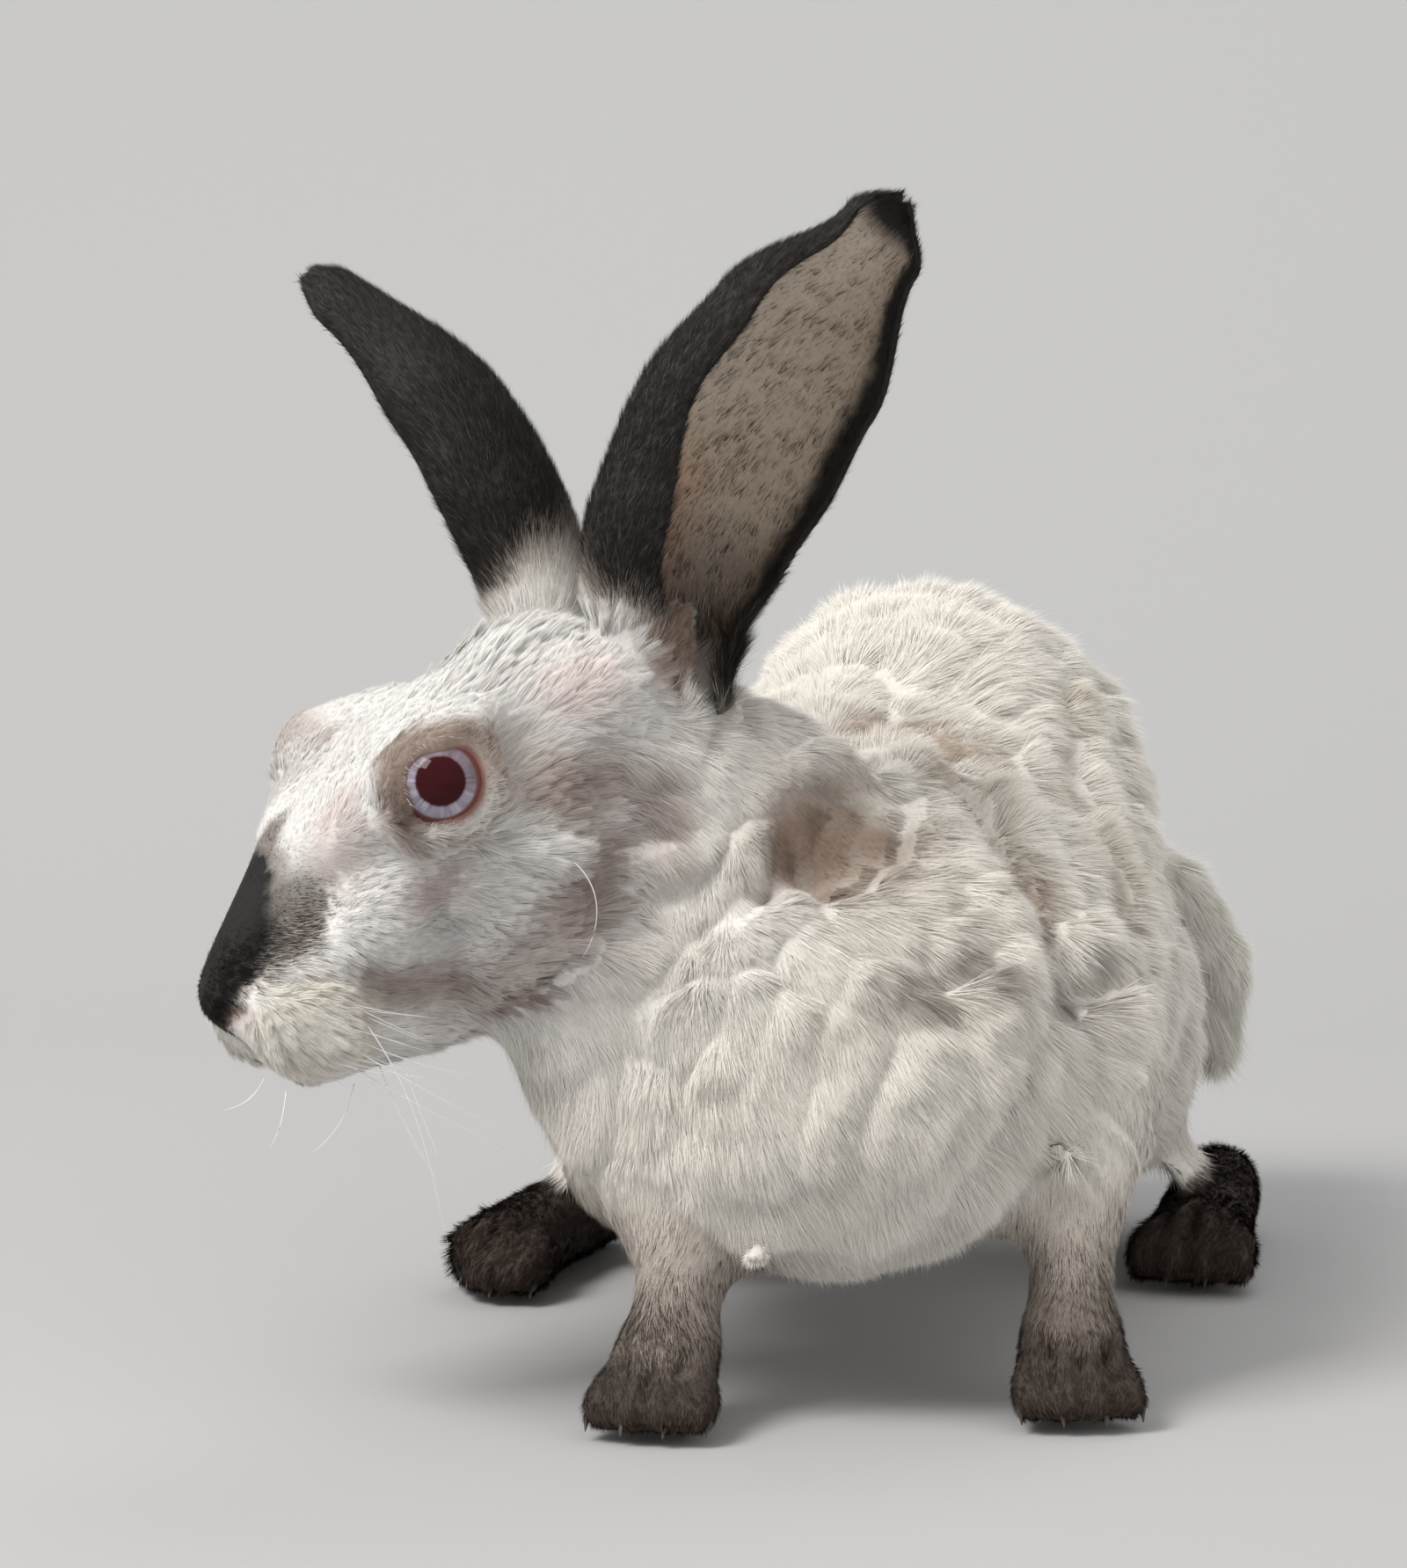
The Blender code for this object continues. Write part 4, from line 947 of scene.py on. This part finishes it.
wet = finish(
    "wet_eye", Roughness=0.5, Specular_IOR_Level=0.0, Coat_Weight=0.5, Coat_IOR=1.35, Coat_Roughness=0.02
)
for side, name in ((1, "eye_left"), (-1, "eye_right")):
    look = GAZE * (1, side, 1)
    bm = bmesh.new()
    bmesh.ops.create_uvsphere(bm, u_segments=160, v_segments=120, radius=1.0)
    spots = np.array([v.co for v in bm.verts])
    axis = unit(look @ HEAD_AXES)
    turned = np.array(Vector(axis).to_track_quat("Z", "Y").to_matrix())
    off_axis = np.arccos(np.clip(spots[:, 2], -1, 1))
    spin = np.arctan2(spots[:, 1], spots[:, 0])
    radius = EYE_RADIUS - 0.05 + CORNEA * np.clip(1 - (off_axis / 1.0) ** 2, 0, 1)
    rays = noise(np.stack([np.cos(spin) * 9, np.sin(spin) * 9, off_axis * 2], 1), 0.8, 31)
    rays += 0.6 * noise(np.stack([np.cos(spin) * 22, np.sin(spin) * 22, off_axis * 3], 1), 0.8, 32)
    pale = mix(even((0.20, 0.17, 0.215), spots), (0.44, 0.415, 0.50), np.clip(0.5 + 0.5 * rays, 0, 1))
    # Painted shade: the iris is darkened towards its top, where the upper lid shades it.
    over = ease((spots @ turned.T) @ unit(np.array((0.35, 0, 0.94))), -0.05, 0.55)
    iris = mix(pale, (0.12, 0.065, 0.075), 0.6 * over)
    iris = mix(iris, (0.15, 0.06, 0.075), ease(-off_axis, -0.60, -0.50) * 0.7)
    colour = mix(even((0.036, 0.0035, 0.0055), spots), iris, ease(off_axis + 0.008 * rays, 0.51, 0.555))
    colour = mix(colour, (0.17, 0.058, 0.052), ease(off_axis + 0.01 * rays, 0.82, 0.96))
    spots = spots * radius[:, None] @ turned.T + out_of_head((0, side * EYE_ASIDE, 0))
    for vert, spot in zip(bm.verts, in_scene(spots)):
        vert.co = spot
    ball_mesh = bpy.data.meshes.new(name + "_ball")
    for face in bm.faces:
        face.smooth = True
    bm.to_mesh(ball_mesh)
    bm.free()
    paint(ball_mesh, colour)
    ball = new_object(name + "_ball", ball_mesh)
    ball_mesh.materials.append(wet)
    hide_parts(name)
    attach(ball, "root")

# The coat: flat tapered tufts of hair rooted in the skin, each lifted from it along the lie and drawn towards
# the leader of its clump. Their normals are mostly the skin's, so the coat takes light as one soft surface.

fur = finish("coat_fur", Roughness=0.7, Specular_IOR_Level=0.12)

mesh.calc_loop_triangles()
corners = rows_of(mesh.loop_triangles, "vertices", 3, np.int64)
loops = rows_of(mesh.loop_triangles, "loops", 3, np.int64)
flat_uv = rows_of(mesh.uv_layers.active.data, "uv", 2)
a, b, c = (points[corners[:, k]] for k in range(3))
area = np.linalg.norm(np.cross(b - a, c - a), axis=1) / 2
bare_skin = hidden[corners].any(1)
thick = (1 - 0.72 * ease(in_cup * on_ears, 0.3, 0.7))[corners].mean(1)
ROOT_DEPTH = 0.35
TIP_PAINTED_LIGHT = 1.03
PATCH = np.array(((-1, -1), (1, -1), (0, 1))) * 0.0015
room_low, room_high = np.array(cad_box[0]) + 0.0002, np.array(cad_box[1]) - 0.0002


def grow(name, kinds, count, width, lift, clump, pull, vary, root_painted_shade=0.90, where=None, slot="white_coat"):
    """One piece of coat: count tufts over the named kinds of region. Width and clump, the space of the leaders,
    are in mm, lift is in degrees, pull is a share, and vary holds the range of the tufts' shades."""
    wanted = np.isin(owner, [i for i, region in enumerate(regions) if region.startswith(kinds)])
    chosen = wanted[corners].sum(1) >= 2
    chosen &= ~bare_skin
    if where is not None:
        chosen &= where(points[corners].mean(1))
    weight = np.cumsum(np.where(chosen, area * thick, 0))
    pick = np.searchsorted(weight, chance.random(count) * weight[-1])
    r, s = chance.random((2, count))
    flip = r + s > 1
    r, s = np.where(flip, 1 - r, r), np.where(flip, 1 - s, s)
    mixing = np.stack([1 - r - s, r, s], 1)

    def at_roots(values):
        picked = values[corners[pick]]
        if picked.ndim == 2:
            return (picked * mixing).sum(1)
        return (picked * mixing[..., None]).sum(1)

    root = at_roots(points)
    out = unit(at_roots(facing))
    lie = at_roots(flow)
    uphill = (lie * out).sum(1)[:, None]
    lie = unit(lie - out * np.where(uphill > 0, 0.75, 1.0) * uphill)
    reach = at_roots(length) * chance.uniform(0.72, 1.15, count)
    sway = chance.normal(0, 0.16, count)
    lie = lie * np.cos(sway)[:, None] + np.cross(out, lie) * np.sin(sway)[:, None]
    rise = np.radians(lift) * chance.uniform(0.5, 1.3, count) * (1 + 0.3 * noise(root, 9, 40))
    rise = np.where(chance.random(count) < 0.05, rise * 2.2, rise)
    first = lie * np.cos(rise)[:, None] + out * np.sin(rise)[:, None]
    second = lie * np.cos(rise * 0.35)[:, None] + out * np.sin(rise * 0.35)[:, None]
    start = root - out * ROOT_DEPTH
    half = (reach * 0.5)[:, None]
    tip = start + first * half + second * half
    leaders = chance.choice(count, max(8, int(weight[-1] / clump ** 2)), replace=False)
    tree = tree_of(root[leaders])
    nearest = leaders[[tree.find(p)[1] for p in root]]
    near = np.linalg.norm(root - root[nearest], axis=1) < clump * 1.6
    hold = (np.where(near, pull, 0) * ease(reach, 1.2, 4.0))[:, None] * chance.uniform(0.5, 1.2, (count, 1))
    tip = tip + (tip[nearest] - tip) * hold
    side = unit(np.cross(lie, out))
    roll = chance.normal(0, 0.3, count)
    side = side * np.cos(roll)[:, None] + out * np.sin(roll)[:, None]
    broad = (width * chance.uniform(0.7, 1.25, count) / 2)[:, None]
    spots = np.stack([start - side * broad, start + side * broad, tip], 1).reshape(-1, 3)
    spots = np.clip(in_scene(spots), room_low, room_high)
    piece_mesh = bpy.data.meshes.new(name)
    piece_mesh.vertices.add(len(spots))
    piece_mesh.vertices.foreach_set("co", spots.ravel())
    piece_mesh.loops.add(len(spots))
    piece_mesh.loops.foreach_set("vertex_index", np.arange(len(spots)))
    piece_mesh.polygons.add(count)
    piece_mesh.polygons.foreach_set("loop_start", np.arange(count) * 3)
    piece_mesh.polygons.foreach_set("use_smooth", np.ones(count, bool))
    piece_mesh.update(calc_edges=True)
    along = unit(tip - start)
    flat = unit(np.cross(side, along))
    shade_way = unit(0.75 * out + 0.25 * flat)
    piece_mesh.normals_split_custom_set_from_vertices(np.repeat(shade_way, 3, 0))
    shares = {kind: at_roots(value) for kind, value in share_of.items()}
    ear_place = (at_roots(up_ear), at_roots(across_ear), at_roots(in_cup))
    colour = marked(root, shares, *ear_place, draw=chance.random(count))
    colour *= chance.uniform(*vary, (count, 1))
    # Painted shade and light: each tuft is painted darker at its root, deep in the coat, and a little lighter
    # at its tip.
    shaded = np.repeat(colour[:, None], 3, 1) * np.array((root_painted_shade, root_painted_shade, TIP_PAINTED_LIGHT))[None, :, None]
    paint(piece_mesh, np.clip(shaded.reshape(-1, 3), 0.004, 0.95))
    spot_uv = (flat_uv[loops[pick]] * mixing[..., None]).sum(1)
    layer = piece_mesh.uv_layers.new(name="OFBake")
    layer.data.foreach_set("uv", (spot_uv[:, None] + PATCH).ravel())
    piece = new_object(name, piece_mesh)
    piece_mesh.materials.append(fur)
    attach(piece, "root")


TRUNK = ("chest", "rump")
WITHERS, LOIN = 48, 150
# The wool's range of tuft tones, and the painted shade at its tufts' roots.
WOOL = (0.84, 1.05), 0.84
grow("coat_face", ("head",), 190000, 0.19, 24, 1.7, 0.55, (0.84, 1.07), 0.78, lambda p: in_head(p)[:, 0] > 4)
grow("coat_crown", ("head",), 160000, 0.21, 24, 2.1, 0.75, (0.8, 1.06), 0.76, lambda p: in_head(p)[:, 0] <= 4)
grow("coat_ears", ("ear",), 140000, 0.15, 34, 1.8, 0.3, (0.7, 1.3), slot="dark_coat")
grow("coat_neck", ("neck",), 150000, 0.18, 17, 3.0, 0.25, *WOOL)
grow("coat_chest", TRUNK, 190000, 0.19, 16, 3.4, 0.22, *WOOL, lambda p: p[:, 1] < WITHERS)
grow("coat_back", TRUNK, 190000, 0.21, 16, 3.6, 0.22, *WOOL,
     lambda p: (p[:, 1] >= WITHERS) & (p[:, 1] < LOIN))
grow("coat_rump", TRUNK, 150000, 0.23, 16, 3.8, 0.22, *WOOL, lambda p: p[:, 1] >= LOIN)
grow("coat_thighs", ("thigh",), 90000, 0.21, 16, 3.4, 0.22, *WOOL)
grow("coat_tail", ("tail",), 50000, 0.21, 26, 3.4, 0.25, (0.86, 1.05), 0.86)
grow("coat_legs", ("foreleg",), 72000, 0.18, 18, 2.0, 0.3, (0.84, 1.08))
grow("coat_feet", ("forepaw", "hindfoot"), 100000, 0.18, 26, 1.8, 0.5, (0.8, 1.2), slot="dark_coat")

# Whiskers and lashes: fine stiff tapered hairs, curving back and down from the whisker pads, the chin and the
# brow, and fanned along the upper lids.

HAIR_STEPS = 14

hair = finish("white_hair", painted=False, Base_Color=(0.93, 0.92, 0.90, 1), Roughness=0.35)


def tube(start, rings, sides):
    """The faces of a closed tube, from the number of its first point."""
    end = start + (rings - 1) * sides
    walls = []
    for base in range(start, end, sides):
        for j in range(sides):
            n = (j + 1) % sides
            walls.append((base + j, base + n, base + sides + n, base + sides + j))
    return walls + [tuple(range(start, start + sides))[::-1], tuple(range(end, end + sides))]


def hairs(name, strands, thick):
    """Three-sided tapered tubes along smooth curves of four control points each."""
    spots, faces = [], []
    share = np.linspace(0, 1, HAIR_STEPS + 1)
    for route in strands:
        line = bezier(route, share)
        along = unit(np.gradient(line, axis=0))
        aside = unit(np.cross(along, (0.3, 0.2, 0.93)))
        over = np.cross(along, aside)
        start = len(spots)
        for k, (p, s) in enumerate(zip(line, share)):
            r = thick / 2 * (1 - 0.85 * s)
            for turn in (0, 2.094, 4.189):
                spots.append(p + aside[k] * r * math.cos(turn) + over[k] * r * math.sin(turn))
        faces += tube(start, HAIR_STEPS + 1, 3)
    piece_mesh = bpy.data.meshes.new(name)
    piece_mesh.from_pydata([tuple(p) for p in in_scene(np.array(spots))], [], faces)
    piece_mesh.materials.append(hair)
    for polygon in piece_mesh.polygons:
        polygon.use_smooth = True
    piece = new_object(name, piece_mesh)
    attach(piece, "root")


strands = [np.array(route, float) for route in (
    ((-96, 14, 80.5), (-88, 12, 69), (-85, 10, 61), (-80.4, 8, 38)),
    ((-99, 16, 69), (-100, 14, 63.6), (-102, 13, 60), (-107, 12, 56)),
    ((-89, 20, 71), (-86.8, 17, 64.7), (-85.5, 15, 62), (-82, 13, 54)),
    ((-56.1, 19.5, 112), (-50.5, 16, 107.5), (-50.5, 15, 100), (-54.5, 14, 94)),
    ((-94.5, 18, 73), (-91, 15, 64.4), (-87.4, 12.7, 58), (-82, 10, 50)),
    ((-112, 13, 68), (-112.5, 11, 63), (-113, 10.5, 60.8), (-115, 10, 57.5)),
    ((-116, 11, 71), (-118, 9, 67), (-120, 8.7, 66), (-124, 8, 65)),
)]
for side in (1, -1):
    for k in range(14):
        f, u = 30 + 14 * chance.random(), -26 - 16 * chance.random()
        root = np.array((f, side * (13 + 2 * chance.random()), u))
        reach = chance.uniform(12, 30)
        out = np.array((-0.45, side * chance.uniform(0.3, 0.6), chance.uniform(-0.8, -0.3)))
        drop = np.array((-0.25 * reach, 0, -0.35 * reach * chance.random()))
        bend = root + out * reach * 0.75 + drop * 0.3
        route = (root - out * 2, root + out * reach * 0.4, bend, root + out * reach + drop)
        strands.append(out_of_head(np.array(route)))
hairs("whiskers", strands, 0.34)

strands = []
for side in (1, -1):
    look = EYE_LOOK * (1, side, 1)
    corner, upward = eye_cross(look, side)
    for k in range(26):
        angle = math.radians(25 + 130 * k / 25) + chance.normal(0, 0.05)
        ray = corner * math.cos(angle) + upward * math.sin(angle)
        root = np.array((0, side * EYE_ASIDE, 0)) + ray * 8.4 + look * 5.2
        tip = root + ray * 1.0 + look * 3.4 + upward * -1.6 + corner * chance.normal(0, 0.7)
        route = (root, root + look * 1.5, root + look * 2.8 + ray * 0.4, tip)
        strands.append(out_of_head(np.array(route)))
hairs("lashes", strands, 0.11)

# Claws: short dark curved spikes of horn at the end of each toe, half hidden by its fur. Each is rooted where
# a ray from the ball of the foot leaves the skin.

horn = finish("claw_horn", painted=False, Base_Color=(0.055, 0.040, 0.034, 1), Roughness=0.35)
skin_tree = BVHTree.FromPolygons(
    [v.co for v in skin.data.vertices], [p.vertices[:] for p in skin.data.polygons]
)
spots, faces = [], []
for ball, heading, reach, spread in FEET:
    ahead, aside = foot_ways(heading)
    for k in range(4):
        out = (k - 1.5) * spread
        toe_way = Vector(unit(ahead * (reach - 0.16 * out * out / spread) + aside * out * 1.12))
        toe_end = skin_tree.ray_cast(Vector(in_scene(np.array(ball) * (1, 1, 0) + (0, 0, 5))), toe_way)[0]
        root = in_layout(toe_end) - ahead * 1.4
        start = len(spots)
        for step in range(5):
            share = step / 4
            centre = root + ahead * 1.9 * share
            centre[2] = 4.6 - 2.4 * share ** 1.6
            for turn in np.linspace(0, 2 * math.pi, 7)[:-1]:
                thin = (1 - 0.85 * share) * 0.95
                up = np.array((0, 0, 1.2)) * thin * math.sin(turn)
                spots.append(centre + aside * thin * math.cos(turn) + up)
        faces += tube(start, 5, 6)
claw_mesh = bpy.data.meshes.new("claws")
claw_mesh.from_pydata([tuple(p) for p in in_scene(np.array(spots))], [], faces)
claw_mesh.materials.append(horn)
claws = new_object("claws", claw_mesh)
bm = bmesh.new()
bm.from_mesh(claw_mesh)
bmesh.ops.recalc_face_normals(bm, faces=bm.faces)
bm.to_mesh(claw_mesh)
bm.free()
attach(claws, "root")

# Floor, wall, light and camera: a plain pale sweep, a large window light from the front left, a weak fill, a
# back light, and the camera that fits the photo.

SWEEP_BEND = 0.9
SWEEP_START = 0.4
BEND_STEPS = 24

sweep = [(-3.0, 0.0), (SWEEP_START, 0.0)]
for step in range(1, BEND_STEPS + 1):
    angle = math.radians(90 * step / BEND_STEPS)
    sweep.append((SWEEP_START + SWEEP_BEND * math.sin(angle), SWEEP_BEND - SWEEP_BEND * math.cos(angle)))
sweep.append((1.3, 5.0))
floor_mesh = bpy.data.meshes.new("floor")
floor_spots = [(x, y, z) for y, z in sweep for x in (-6, 6)]
floor_faces = [(2 * k, 2 * k + 1, 2 * k + 3, 2 * k + 2) for k in range(len(sweep) - 1)]
floor_mesh.from_pydata(floor_spots, [], floor_faces)
for polygon in floor_mesh.polygons:
    polygon.use_smooth = True
floor = new_object("floor", floor_mesh)
pale = finish("pale_ground", painted=False, Base_Color=(0.46, 0.46, 0.465, 1), Roughness=0.9)
floor_mesh.materials.append(pale)

world = bpy.data.worlds.new("room")
bpy.context.scene.world = world
world.use_nodes = True
sky = world.node_tree.nodes["Background"].inputs
sky["Color"].default_value = (0.93, 0.92, 0.90, 1)
sky["Strength"].default_value = 0.74


def area_light(name, place, target, size, power, colour):
    light = bpy.data.lights.new(name, "AREA")
    light.energy = power
    light.size = size
    light.color = colour
    obj = bpy.data.objects.new(name, light)
    bpy.context.scene.collection.objects.link(obj)
    obj.location = place
    obj.rotation_euler = (Vector(target) - Vector(place)).to_track_quat("-Z", "Y").to_euler()
    return obj


area_light("window", (-1.0, -0.8, 1.5), (0, 0, 0.1), 0.8, 31, (1.0, 0.98, 0.95))
area_light("fill", (1.3, -1.2, 0.7), (0, 0, 0.1), 1.2, 3.6, (0.98, 0.97, 0.95)).visible_glossy = False
area_light("back", (0.5, 1.0, 1.4), (0, 0, 0.1), 0.9, 6, (0.97, 0.98, 1.0)).visible_glossy = False

CAMERA_PLACE = (-31.0, -1000.0, 230.0)
CAMERA_DROP = 5.75
FOCAL_PIXELS = 6000
PHOTO_HEIGHT = 1783

camera = bpy.data.cameras.new("camera")
camera.sensor_width = 36
camera.lens = FOCAL_PIXELS * camera.sensor_width / PHOTO_HEIGHT
camera.clip_start = 0.01
camera_object = bpy.data.objects.new("camera", camera)
bpy.context.scene.collection.objects.link(camera_object)
camera_object.location = in_scene(CAMERA_PLACE)
camera_object.rotation_euler = (math.radians(90 - CAMERA_DROP), 0, 0)
bpy.context.scene.camera = camera_object
bpy.context.scene.view_settings.view_transform = "Standard"
